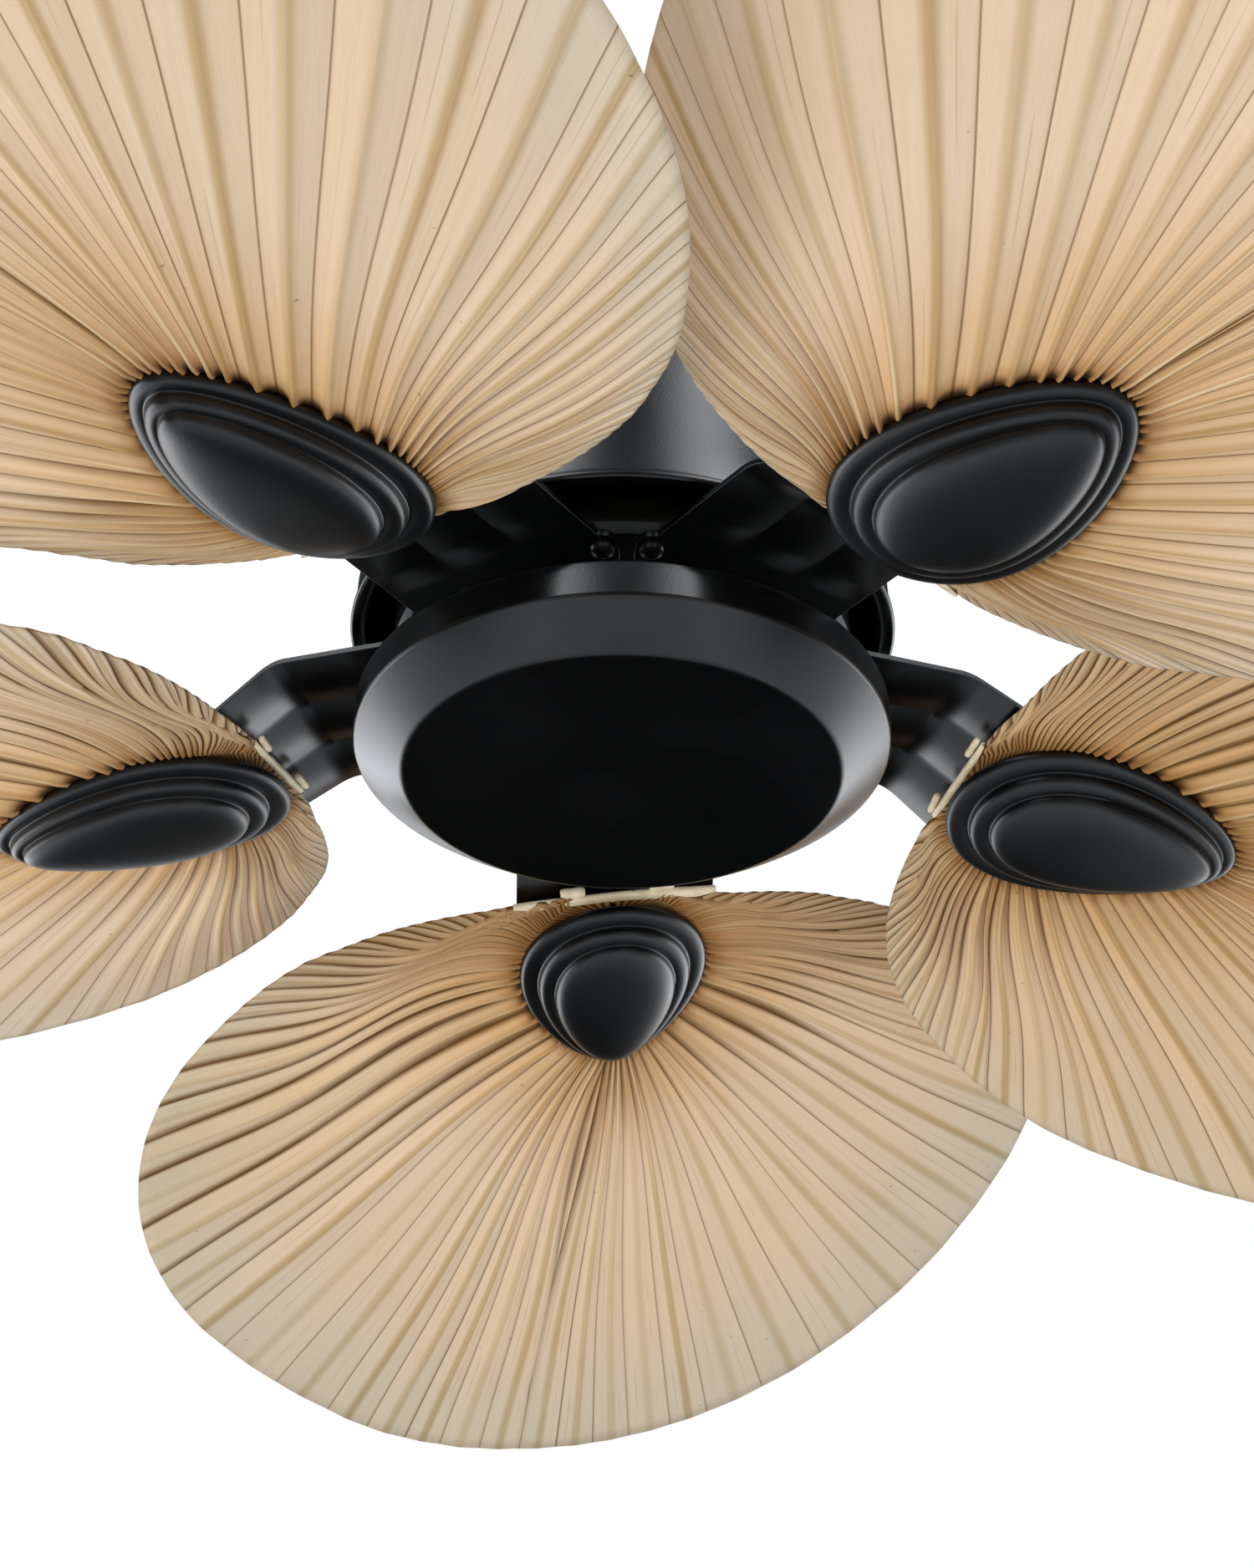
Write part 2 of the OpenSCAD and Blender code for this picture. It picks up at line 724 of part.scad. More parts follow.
// Height of a bracket's underside at radius x and distance y across
function bracket_under(x, y) =
  let (seat = motor_z - bracket_t)
  let (fall = (seat - flat_z(bracket_land_r, y, leaf_over)) / (bracket_land_r - bracket_fold_r))
  x >= bracket_land_r ? flat_z(x, y, leaf_over) : seat - fall * past_fold(x, bracket_fold_r);

// Depth of the three flutes: none where the bracket is bolted down or lies on its leaf
function flute(x, s) =
  let (grow = min(1, max(0, (x - plate_end) / 12)), fade = min(1, max(0, (bracket_land_r - 4 - x) / 14)))
  flute_h * grow * fade * abs(sin(270 * (s + 1)));

bracket_rows = concat(
  [plate_end - 6, plate_end, plate_end + 12],
  [for (d = [-fold_soft, 0, fold_soft]) bracket_fold_r + d],
  [bracket_land_r - 18, bracket_land_r - 4, bracket_land_r, pad_end]
);
bracket_columns = [for (i = [-6:6]) i / 6];

module bracket_sheet() {
  rows = len(bracket_rows);
  cols = len(bracket_columns);
  under = [for (x = bracket_rows, s = bracket_columns)
    let (y = s * bracket_half(x)) [x, y, bracket_under(x, y) - flute(x, s)]];
  over = [for (p = under) p + [0, 0, bracket_t]];
  n = rows * cols;
  faces = concat(
    [for (r = [0:rows - 2], c = [0:cols - 2]) each sheet_quad(r * cols + c, cols, n)],
    [for (r = [0:rows - 2]) each edge_quad(r * cols, (r + 1) * cols, n)],
    [for (r = [0:rows - 2]) each edge_quad((r + 2) * cols - 1, (r + 1) * cols - 1, n)],
    [for (c = [0:cols - 2]) each edge_quad(c + 1, c, n)],
    [for (c = [0:cols - 2]) each edge_quad((rows - 1) * cols + c, (rows - 1) * cols + c + 1, n)]
  );
  polyhedron(points = concat(under, over), faces = faces, convexity = 8);
}

// The two faces of one cell of a sheet, below and above
function sheet_quad(a, cols, n) = [
  [a, a + cols + 1, a + 1], [a, a + cols, a + cols + 1],
  [n + a, n + a + 1, n + a + cols + 1], [n + a, n + a + cols + 1, n + a + cols]
];

// The edge of a sheet between two points of its underside
function edge_quad(a, b, n) = [[a, n + a, n + b], [a, n + b, b]];

// The flat end under the motor: a sector of a ring with rounded ears round the screws, and
// a straight tongue out to the sheet
module bracket_seat()
  translate([0, 0, motor_z - bracket_t])
    linear_extrude(bracket_t)
      union() {
        intersection() {
          difference() {
            circle(r = seat_out);
            circle(r = seat_in);
          }
          polygon([[0, 0], ear_ray(1), [3 * seat_out, 0], ear_ray(-1)]);
        }
        for (side = [-1, 1])
          rotate([0, 0, side * ear_angle]) {
            for (x = [seat_in + ear_soft, seat_out - ear_soft])
              translate([x, 0]) circle(r = ear_soft, $fn = 48);
            translate([seat_in + ear_soft, min(0, side) * ear_soft])
              square([seat_out - seat_in - 2 * ear_soft, ear_soft]);
          }
        translate([seat_in, -bracket_w / 2]) square([plate_end - seat_in, bracket_w]);
      }

ear_soft = 6.5;
ear_angle = asin(bracket_screw_span / 2 / bracket_screw_r);
function ear_ray(side) = 2 * seat_out * [cos(ear_angle), side * sin(ear_angle)];

module blade_bracket(k) color(black) {
  difference() {
    at_blade(k)
      difference() {
        union() {
          bracket_seat();
          bracket_sheet();
        }
        own_screw_places()
          translate([0, 0, motor_z - bracket_t - 1]) cylinder(r = m5_r + pass_gap, h = bracket_t + 2);
      }
    clamp_places(k) translate([0, 0, -1]) cylinder(r = m4_r + pass_gap, h = 3 * bracket_t);
  }
}

module clamp_places(k)
  on_leaf(k)
    for (p = clamp_screws) translate([p[0], p[1], leaf_over]) children();

module bracket_screws() color("#2c2d30")
  bracket_screw_places()
    translate([0, 0, motor_z - bracket_t]) pan_screw(m5_r, bracket_t + 8, m5_head_r, m5_head_h);

// ---------- palm leaves ----------

function spline(p, q, r, s, t) =
  (2 * q + (r - p) * t + (2 * p - 5 * q + 4 * r - s) * t ^ 2 + (3 * q - p - 3 * r + s) * t ^ 3) / 2;

// Rim end of fold line i, in the leaf's frame
function rim_point(i) =
  let (n = len(leaf_shape), s = i / lines_per_span, a = floor(s))
  let (c = spline(
    leaf_shape[(a + n - 1) % n], leaf_shape[a % n], leaf_shape[(a + 1) % n], leaf_shape[(a + 2) % n], s - a
  ))
  [leaf_root_r + c[0] * leaf_len / shape_len, c[1] * leaf_w / shape_w];

// Where a fold line leaves the flat of the leaf: on the oval, or where the root bends up
function flat_point(e) =
  let (reach = (max(0, e[0] - leaf_root_r) / leaf_len) ^ costa_bend)
  let (c = [costa_in + (costa_out - costa_in) * reach, 0])
  let (d = e - c, p = (c[0] - medal_r) / flat_a, q = [d[0] / flat_a, d[1] / flat_b])
  let (qq = q * q, oval = (sqrt((p * q[0]) ^ 2 - qq * (p ^ 2 - 1)) - p * q[0]) / qq)
  let (fold = e[0] < root_line ? (root_line - c[0]) / d[0] : 1)
  c + min(oval, fold, 0.8) * d;

// 0 along the bound root, 1 at the leaf's widest
function leaf_side(y) = max(0, abs(y) - root_half) / (leaf_w / 2 - root_half);

// Folds fade out where the cane binds the root
function fold_depth(i, e) =
  (0.5 - i % 2) * pleat_h * (e[0] > medal_r ? 1 : min(1, max(0, (abs(e[1]) - root_half - 2) / 30)));

// How far rim point e is lifted by the curl of the leaf
function rim_lift(e) =
  let (lobe = min(1, max(0, (lobe_end - e[0]) / medal_len)) ^ 1.3)
  leaf_cup * leaf_side(e[1]) ^ 2 - leaf_lean / 2 * sign(e[1]) * leaf_side(e[1])
  + lobe_lift * lobe * min(1, max(0, abs(e[1]) - root_half) / medal_w);

// The bend at root_line lifts the root; past bend_r the tip falls
function root_rise(u) = max(0, root_line - u) * tan(root_bend);
function leaf_fall_at(u) = u < bend_r ? 0 : leaf_fall * ((u - bend_r) / (leaf_tip_r - bend_r)) ^ 2;

leaf_rings = [0, 0.5, 1];

module leaf_sheet() {
  m = len(leaf_shape) * lines_per_span;
  rings = len(leaf_rings);
  rims = [for (i = [0:m - 1]) rim_point(i)];
  over = concat(
    [for (f = leaf_rings, i = [0:m - 1])
      let (s = flat_point(rims[i]), p = s + f * (rims[i] - s))
      let (curl = f ^ 1.5 * rim_lift(rims[i]) + f * fold_depth(i, rims[i]))
      [p[0], p[1], leaf_over + root_rise(p[0]) + curl - leaf_fall_at(p[0])]],
    [[medal_r, 0, leaf_over]]
  );
  n = len(over);
  faces = concat(
    [for (i = [0:m - 1]) each [[n - 1, i, (i + 1) % m], [2 * n - 1, n + (i + 1) % m, n + i]]],
    [for (r = [0:rings - 2], i = [0:m - 1])
      let (a = r * m + i, b = r * m + (i + 1) % m)
      each [
        [a, a + m, b + m], [a, b + m, b], [n + a, n + b + m, n + a + m], [n + a, n + b, n + b + m]
      ]],
    [for (i = [0:m - 1])
      let (a = (rings - 1) * m + i, b = (rings - 1) * m + (i + 1) % m)
      each [[b, a, n + a], [b, n + a, n + b]]]
  );
  polyhedron(points = concat(over, [for (p = over) p - [0, 0, leaf_t]]), faces = faces, convexity = 10);
}

module palm_leaf(k) color(leaf_colour)
  on_leaf(k)
    difference() {
      leaf_sheet();
      for (p = clamp_screws)
        translate([p[0], p[1], leaf_under - 1]) cylinder(r = m4_r + pass_gap, h = leaf_t + 2);
    }

knot_len = 12;
knot_places = [-22, 20];
binding_reach = 4.5;

// A split cane folded over the bent-up root edge, with two rolled knots along its fold
module root_binding(k) color(cane_colour)
  on_leaf(k)
    translate([root_line, 0, leaf_under])
      rotate([0, root_bend, 0]) {
        edge = -(root_line - leaf_root_r) / cos(root_bend) - 0.5;
        slot = leaf_t * cos(root_bend);
        translate([edge, binding_len / 2, 0])
          rotate([90, 0, 0])
            linear_extrude(binding_len)
              difference() {
                union() {
                  translate([0, -binding_t]) square([binding_reach, slot + 2 * binding_t]);
                  translate([0, slot / 2]) circle(r = slot / 2 + binding_t, $fn = 32);
                }
                square([binding_reach + 1, slot]);
              }
        for (y = knot_places)
          translate([edge - slot / 2 - knot_r, y - knot_len / 2, slot])
            rotate([-90, 0, 0]) cylinder(r = knot_r, h = knot_len, $fn = 32);
      }

// ---------- medallions ----------

egg_lean = 0.2686;
tier_in = [0, 10, 19];
tier_tip = [0, 7, 13];
function tier_side(i) = (tier_in[i] + tier_tip[i]) / 2;

// An egg with its broad end towards the fan's axis, pulled in by different amounts at each end
module egg(inset_in, inset_tip, inset_side)
  translate([medal_r + (inset_in - inset_tip) / 2, 0])
    polygon([for (a = [0:6:354])
      [
        (medal_len / 2 - (inset_in + inset_tip) / 2) * cos(a),
        (medal_w / 2 - inset_side) * sin(a) * (1 - egg_lean * cos(a))
      ]]);

module medallion(k) color(black)
  on_leaf(k)
    difference() {
      union() {
        for (i = [0:2])
          translate([0, 0, leaf_under - (i + 1) * medal_step])
            linear_extrude((i + 1) * medal_step)
              egg(tier_in[i], tier_tip[i], tier_side(i));
        for (i = [1:2])
          translate([0, 0, leaf_under - 3 * medal_step - medal_dome * i / 2])
            linear_extrude(medal_dome)
              egg(tier_in[2] + 8 * i, tier_tip[2] + 7 * i, 16 + 8 * i);
      }
      difference() {
        for (i = [0:2])
          translate([0, 0, leaf_under - (i + 1) * medal_step + medal_wall / 2])
            linear_extrude((i + 1) * medal_step)
              egg(tier_in[i] + medal_wall, tier_tip[i] + medal_wall, tier_side(i) + medal_wall);
        for (p = clamp_screws)
          translate([p[0], p[1], leaf_under - 4 * medal_step]) cylinder(r = 5, h = 4 * medal_step, $fn = 48);
      }
      for (p = clamp_screws)
        translate([p[0], p[1], leaf_under - 2 * medal_step]) cylinder(r = m4_r + fit_gap, h = 3 * medal_step);
    }

module medallion_screws() color("#2c2d30")
  for (k = [0:blades - 1])
    clamp_places(k)
      translate([0, 0, bracket_t * flat_n[2]])
        rotate([180, 0, 0])
          pan_screw(m4_r, bracket_t * flat_n[2] + leaf_t + 2 * medal_step - 1, m4_head_r, m4_head_h);

// ---------- lower pan ----------

function pan_wall_r(z) = pan_r - pan_lean * (z - 2) / (pan_wall_h - 2);

module lower_pan() color(black)
  translate([0, 0, lip_z]) {
    rotate_extrude()
      polygon([
        [0, -pan_cone_h], [pan_flat_r - 4, -pan_cone_h], [pan_flat_r - 1.6, -pan_cone_h + 0.4],
        [pan_flat_r + 0.4, -pan_cone_h + 1.5], [pan_r - 3.4, -2.5], [pan_r - 1.3, -1],
        [pan_r - 0.3, 0.4], [pan_r, 2], [pan_r - pan_lean, pan_wall_h],
        [pan_r - pan_lean - sheet_t, pan_wall_h], [pan_r - sheet_t, 2.2], [pan_r - 1.6 - sheet_t * 0.8, 0.9],
        [pan_r - 3.7 - sheet_t * 0.7, -1.3 + sheet_t * 0.4], [pan_flat_r - 0.4, -pan_cone_h + 1.5 + sheet_t],
        [pan_flat_r - 4, -pan_cone_h + sheet_t], [0, -pan_cone_h + sheet_t]
      ]);
    for (i = [0:2])
      rotate([0, 0, 30 + 120 * i])
        translate([mount_r - 4, -lug_w / 2, mount_z - lip_z + mount_t])
          cube([pan_wall_r(mount_z - lip_z + mount_t) - mount_r + 3.2, lug_w, 2]);
  }

module pan_mount_plate() color(steel)
  difference() {
    translate([0, 0, mount_z]) ring(shaft_r + fit_gap, mount_r, mount_t);
    for (i = [0:2])
      rotate([0, 0, 60 + 30 + 120 * i])
        translate([mount_r - 5, -lug_w / 2 - 1, mount_z - 1]) cube([10, lug_w + 2, mount_t + 2]);
    capacitor_screw_places() translate([0, 0, -1]) cylinder(r = m4_r + fit_gap, h = mount_t + 2);
  }

module shaft_nuts() color(steel)
  for (z = [mount_z - nut_h, mount_z + mount_t])
    translate([0, 0, z])
      difference() {
        cylinder(r = nut_r, h = nut_h, $fn = 6);
        translate([0, 0, -1]) cylinder(r = shaft_r + fit_gap, h = nut_h + 2);
      }

module capacitor_screw_places()
  for (side = [-1, 1])
    translate([capacitor_r, side * (capacitor_size[0] / 2 + 4), mount_z]) children();

module run_capacitor() color("#303236")
  difference() {
    translate([capacitor_r, 0, mount_z])
      rotate([0, 0, 90]) {
        hanging_box(capacitor_size, 2);
        hanging_box([capacitor_size[0] + 16, 12, 2], 3);
      }
    capacitor_screw_places() translate([0, 0, -4]) cylinder(r = m4_r + pass_gap, h = 5);
  }

module capacitor_screws() color(steel)
  capacitor_screw_places() translate([0, 0, -2]) pan_screw(m4_r, 2 + mount_t + 1, 3.4, 2);

// ---------- the parts ----------

hanger_bracket();
canopy();
canopy_screws();
remote_receiver();
receiver_screws();
hanger_ball();
ball_cross_pin();
downrod();
coupling_cover();
motor_yoke();
yoke_clevis_pin();
cotter_pin();
yoke_set_screws();
upper_housing();
housing_screws();
motor_shaft();
stator_core();
stator_windings();
upper_bearing_inner();
upper_bearing_outer();
lower_bearing_inner();
lower_bearing_outer();
bearing_balls();
rotor_ring();
upper_motor_cover();
lower_motor_cover();
motor_cover_screws();
for (k = [1:blades]) {
  blade_bracket(k - 1);
  palm_leaf(k - 1);
  root_binding(k - 1);
  medallion(k - 1);
}
bracket_screws();
medallion_screws();
pan_mount_plate();
shaft_nuts();
lower_pan();
run_capacitor();
capacitor_screws();
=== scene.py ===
import bmesh
import bpy
import math
import numpy as np
from mathutils import Matrix, Vector


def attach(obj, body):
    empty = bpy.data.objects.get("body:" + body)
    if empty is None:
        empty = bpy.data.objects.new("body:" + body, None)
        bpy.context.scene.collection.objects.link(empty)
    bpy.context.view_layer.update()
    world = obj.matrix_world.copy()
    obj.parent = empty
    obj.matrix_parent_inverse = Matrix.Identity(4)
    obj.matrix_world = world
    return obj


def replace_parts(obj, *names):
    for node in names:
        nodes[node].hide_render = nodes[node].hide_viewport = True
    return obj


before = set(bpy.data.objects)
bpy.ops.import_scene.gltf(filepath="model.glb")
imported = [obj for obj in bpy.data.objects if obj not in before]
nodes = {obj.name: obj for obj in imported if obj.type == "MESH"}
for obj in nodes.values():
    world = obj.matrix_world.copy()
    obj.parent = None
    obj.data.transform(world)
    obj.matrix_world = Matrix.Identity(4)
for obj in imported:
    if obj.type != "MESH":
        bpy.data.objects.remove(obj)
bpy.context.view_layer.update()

MM = 0.001
BLADES = 5

# ---------------------------------------------------------------- sizes, as in the solids (mm)
LIP_Z = -320.0
MOTOR_Z = -276.0
RIM_Z = -264.0
HOUSING_H = 116.0
HOUSING_R = 119.0
PAN_R = 115.0
MEDAL_R = 226.3
MEDAL_LEN = 138.6
MEDAL_W = 89.4
# the medallion is an egg: this share narrower towards the leaf's tip
MEDAL_TAPER = 0.2686
LEAF_Z = MOTOR_Z - 37.8
LEAF_ROOT = MEDAL_R - MEDAL_LEN / 2 + 2.0
LEAF_TIP = 769.0
LEAF_W = 504.0
LEAF_UNDER = 2.0
LEAF_T = 1.6
LEAF_OVER = LEAF_UNDER + LEAF_T
LEAF_MID = LEAF_OVER - LEAF_T / 2
DROOP = math.radians(3.83)
PITCH = math.radians(7.75)
# the curl of the rim: how far its sides are lifted, how much more the one than the other, and how
# far the lobes beside the root are lifted
CUP, LEAN, LOBE = 8.0, 7.0, 7.5
# the root bends up inside ROOT_LINE, and the leaf falls by this much from BEND_R to its tip
ROOT_BEND = math.radians(11.5)
FALL = 20.0
BINDING_LEN = 92.0
# the edge of the root is arched by this much, within this far of its middle
ARCH, ARCH_HALF = 2.2, 52.0
ROOT_HALF = BINDING_LEN / 2 + 14.0
BEND_R = MEDAL_R + MEDAL_LEN / 2 + 7.0
# the bracket: its fold, where it lands on the leaf, and the ends of its seat, plate and pad
BRACKET_W = 95.0
BRACKET_T = 2.5
FOLD_R = 145.0
LAND_R = MEDAL_R - MEDAL_LEN * 0.276
ROOT_LINE = LAND_R - 5.0
LOBE_END = MEDAL_R + MEDAL_LEN * 0.75
SEAT_IN = 78.0
SEAT_OUT = 98.5
PLATE_END = 100.5
PAD_END = MEDAL_R + MEDAL_LEN * 0.3
# the leaf's outline laid flat, from its root, as (along, across); the tip is the point SHAPE_TIP
SHAPE_LEN, SHAPE_W, SHAPE_TIP = 610.0, 504.0, 19
SHAPE = [
    (0, 0), (0, 24), (0, 48), (3, 71), (8, 93), (16, 116), (30, 142), (51, 168), (82, 194),
    (121, 219), (168, 239), (221, 252), (278, 258), (337, 255), (397, 242), (456, 216),
    (511, 182), (564, 137), (600, 76), (610, 8), (593, -56), (552, -118), (499, -165),
    (438, -201), (372, -226), (304, -242), (235, -246), (170, -231), (111, -203), (65, -169),
    (36, -135), (18, -105), (9, -78), (5, -58), (2, -41), (1, -21),
]
# where a fold's crest lies between its two valleys
CREST = 0.49
# shares of the way across a wide fold and a narrow one that get a column of points
GRID = (0.0, 0.035, 0.11, 0.23, 0.35, 0.42, 0.46, CREST, 0.52, 0.56, 0.64, 0.76, 0.88, 0.96)
FINE_GRID = (0.0, 0.22, 0.40, CREST, 0.58, 0.78)
# a fold wider than this at the rim counts as wide
WIDE_FOLD = 17.0
# rows of faces along each fold
ROWS = 40
# how far inside the medallion's edge the lines of the folds start
START_IN = 9.0
# how thick the sheet of the leaf looks
SHEET = 0.9
LEAF_SEED, CANE_SEED = 101, 300
EGG_SPAN, EGG_STEPS = 260.0, 26
# where a line that meets the rim starts on the medallion: share of the way from the root to the
# tip round the rim, and degrees round the medallion
STARTS = ((0, .054, .084, .125, .17, .21, .27, .33, .385, .445, .518, .66, .74, .87, 1),
          (178, 163, 154, 147, 139, 132, 122, 114, 106, 97, 80, 45, 34, 18, 0))
# for the side of each leaf that turns forward and the other: depth of the folds at the rim, how
# dark their valleys are at the medallion and at the rim, and how far their lines swing
STYLE = [
    ((2.4, 1.50, 1.00, 13.0), (2.0, 1.60, 0.50, 6.0)),
    ((2.2, 0.80, 0.60, 8.0), (2.2, 0.45, 0.25, 2.0)),
    ((2.2, 0.30, 0.10, -3.0), (2.2, 0.70, 0.35, 3.0)),
    ((2.2, 0.45, 0.35, 3.0), (2.2, 0.30, 0.12, -3.0)),
    ((2.2, 0.60, 0.30, 3.0), (2.4, 1.60, 0.95, 4.0)),
]
# width of the folds at the rim: shares of the way from the root to the tip, the widths near the
# root, and those beside the widest part and at the tip of each leaf
WIDTH_AT = (0, 0.13, 0.24, 0.34, 0.48, 0.75, 0.92, 1)
ROOT_WIDTHS = (6.5, 8.5, 19, 35)
WIDE = [(50, 25), (52, 36), (50, 42), (50, 40), (42, 32)]
# how far round the rim from the tip the creases of the tip run out
TIP_SHIFT = (-46.0, 0.0, 0.0, 0.0, 0.0)
# how brown the root of each leaf is
ROOT_BROWN = (0.8, 0.10, 0.10, 0.15, 0.15)
# how dull and how golden each leaf is; the far one is dull only towards its rim
DULL = (1.0, 0.0, 0.30, 0.15, 0.20)
GOLD = (0.16, 0.0, 0.05, 0.0, 0.65)


# ---------------------------------------------------------------- helpers
def clamp(x):
    """x, held between 0 and 1."""
    return min(1.0, max(0.0, x))


def upright_matrix(k):
    """Upright frame of blade k: X out from the axis, Z up."""
    return Matrix.Rotation(math.radians(90 + 360 / BLADES * k), 4, "Z")


def blade_matrix(k):
    """Leaf frame of blade k: X out along the leaf from the axis, Y across, Z off its flat."""
    m = upright_matrix(k) @ Matrix.Translation((MEDAL_R * MM, 0, LEAF_Z * MM))
    m = m @ Matrix.Rotation(DROOP, 4, "Y") @ Matrix.Rotation(-PITCH, 4, "X")
    return m @ Matrix.Translation((-MEDAL_R * MM, 0, 0))


# the normal of the leaf's flat, in the upright frame
FLAT_N = (math.cos(PITCH) * math.sin(DROOP), math.sin(PITCH), math.cos(PITCH) * math.cos(DROOP))


def flat_z(x, y, off):
    """Height at (x, y) of the upright frame of a point that lies this far off the leaf's flat."""
    return LEAF_Z + (off - (x - MEDAL_R) * FLAT_N[0] - y * FLAT_N[1]) / FLAT_N[2]


def make(name, verts, faces, material, matrix=None, smooth=True, body="rotor", uvs=None):
    """A mesh from points in mm, riding on a body. UVs are given for every corner of the faces."""
    me = bpy.data.meshes.new(name)
    me.from_pydata([tuple(c * MM for c in v) for v in verts], [], faces)
    if matrix is not None:
        me.transform(matrix)
    for layer, values in (uvs or {}).items():
        uv = me.uv_layers.new(name=layer)
        uv.data.foreach_set("uv", np.asarray(values, np.float32).ravel())
    me.polygons.foreach_set("use_smooth", [smooth] * len(me.polygons))
    me.materials.append(material)
    me.validate()
    ob = bpy.data.objects.new(name, me)
    bpy.context.scene.collection.objects.link(ob)
    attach(ob, body)
    return ob


def crease(ob, angle):
    """Edges sharper than the angle are shaded as creases."""
    me = ob.data
    bm = bmesh.new()
    bm.from_mesh(me)
    bmesh.ops.recalc_face_normals(bm, faces=bm.faces)
    for e in bm.edges:
        if len(e.link_faces) == 2 and e.calc_face_angle(0) > math.radians(angle):
            e.smooth = False
    bm.to_mesh(me)
    bm.free()


def bevel(ob):
    """Breaks the sharp edges of pressed sheet."""
    m = ob.modifiers.new("edge", "BEVEL")
    m.width = 0.4 * MM
    m.segments = 2
    m.limit_method = "ANGLE"
    m.angle_limit = math.radians(50)


def arc(cx, cz, r, a0, a1, n):
    """Points on an arc from angle a0 to a1, in degrees."""
    out = []
    for i in range(n + 1):
        a = math.radians(a0 + (a1 - a0) * i / n)
        out.append((cx + r * math.cos(a), cz + r * math.sin(a)))
    return out


# ---------------------------------------------------------------- materials
class Nodes:
    """Short words for the node tree of a new material or world."""

    def __init__(self, owner):
        owner.use_nodes = True
        self.owner = owner
        self.tree = owner.node_tree
        self.shader = self.tree.nodes.get("Principled BSDF")

    def new(self, kind, **values):
        n = self.tree.nodes.new(kind)
        for key, value in values.items():
            setattr(n, key, value)
        return n

    def link(self, a, b):
        self.tree.links.new(a, b)

    def math(self, op, a, b=None, c=None, clamp=False):
        """A math node, fed with numbers or sockets."""
        n = self.new("ShaderNodeMath", operation=op, use_clamp=clamp)
        for i, v in enumerate((a, b, c)):
            if v is None:
                continue
            if isinstance(v, (int, float)):
                n.inputs[i].default_value = v
            else:
                self.link(v, n.inputs[i])
        return n.outputs[0]

    def mix(self, fac, a, b, blend="MIX"):
        """Colour b over colour a; each is a tuple or a socket."""
        n = self.new("ShaderNodeMix", data_type="RGBA", blend_type=blend)
        for i, v in ((0, fac), (6, a), (7, b)):
            if isinstance(v, (int, float)):
                n.inputs[i].default_value = v
            elif isinstance(v, tuple):
                n.inputs[i].default_value = (*v, 1)
            else:
                self.link(v, n.inputs[i])
        return n.outputs[2]

    def ramp(self, x, low, high, a=0.0, b=1.0):
        """A smooth step from a to b, as x goes from low to high."""
        n = self.new("ShaderNodeMapRange", interpolation_type="SMOOTHSTEP")
        self.link(x, n.inputs[0])
        for i, v in zip((1, 2, 3, 4), (low, high, a, b)):
            n.inputs[i].default_value = v
        return n.outputs[0]

    def noise(self, scale, detail=3.0, rough=0.55, vector=None):
        n = self.new("ShaderNodeTexNoise")
        n.inputs["Scale"].default_value = scale
        n.inputs["Detail"].default_value = detail
        n.inputs["Roughness"].default_value = rough
        if vector is None:
            vector = self.new("ShaderNodeTexCoord").outputs["Object"]
        self.link(vector, n.inputs["Vector"])
        return n.outputs["Fac"]

    def bump(self, height, distance, normal=None):
        n = self.new("ShaderNodeBump")
        n.inputs["Distance"].default_value = distance
        self.link(height, n.inputs["Height"])
        if normal is not None:
            self.link(normal, n.inputs["Normal"])
        return n.outputs[0]


def material(name):
    return Nodes(bpy.data.materials.new(name))


def paint(name, colour, rough, spread, bump=0.00004):
    """Powder-coated or satin-painted metal: fine orange peel, slight changes of tone and gloss."""
    n = material(name)
    big = n.noise(9.0, 2.0)
    fine = n.noise(900.0, 2.0)
    dark = tuple(c * 0.86 for c in colour)
    n.link(n.mix(n.ramp(big, 0.35, 0.7), dark, colour), n.shader.inputs["Base Color"])
    n.link(n.ramp(big, 0.3, 0.7, rough - spread, rough + spread), n.shader.inputs["Roughness"])
    n.link(n.bump(fine, bump), n.shader.inputs["Normal"])
    return n.owner


def metal(name, colour, rough, grain=0.12, scale=350.0):
    """Bare metal with a brushed grain and small changes of gloss."""
    n = material(name)
    co = n.new("ShaderNodeTexCoord").outputs["Object"]
    stretch = n.new("ShaderNodeVectorMath", operation="MULTIPLY")
    n.link(co, stretch.inputs[0])
    stretch.inputs[1].default_value = (1.0, 1.0, 14.0)
    g = n.noise(scale, 3.0, vector=stretch.outputs[0])
    big = n.noise(25.0, 2.0)
    dark = tuple(c * 0.8 for c in colour)
    n.link(n.mix(n.ramp(big, 0.3, 0.75), dark, colour), n.shader.inputs["Base Color"])
    n.link(n.ramp(g, 0.3, 0.7, rough - grain / 2, rough + grain / 2), n.shader.inputs["Roughness"])
    n.shader.inputs["Metallic"].default_value = 1.0
    n.link(n.bump(g, 0.00003), n.shader.inputs["Normal"])
    return n.owner


def plastic(name, colour, rough):
    """Moulded plastic: a fine grain, small changes of tone and gloss."""
    n = material(name)
    big = n.noise(14.0, 2.0)
    fine = n.noise(1400.0, 2.0)
    dark = tuple(c * 0.9 for c in colour)
    n.link(n.mix(big, dark, colour), n.shader.inputs["Base Color"])
    n.link(n.ramp(big, 0.3, 0.7, rough - 0.04, rough + 0.06), n.shader.inputs["Roughness"])
    n.link(n.bump(fine, 0.00003), n.shader.inputs["Normal"])
    return n.owner


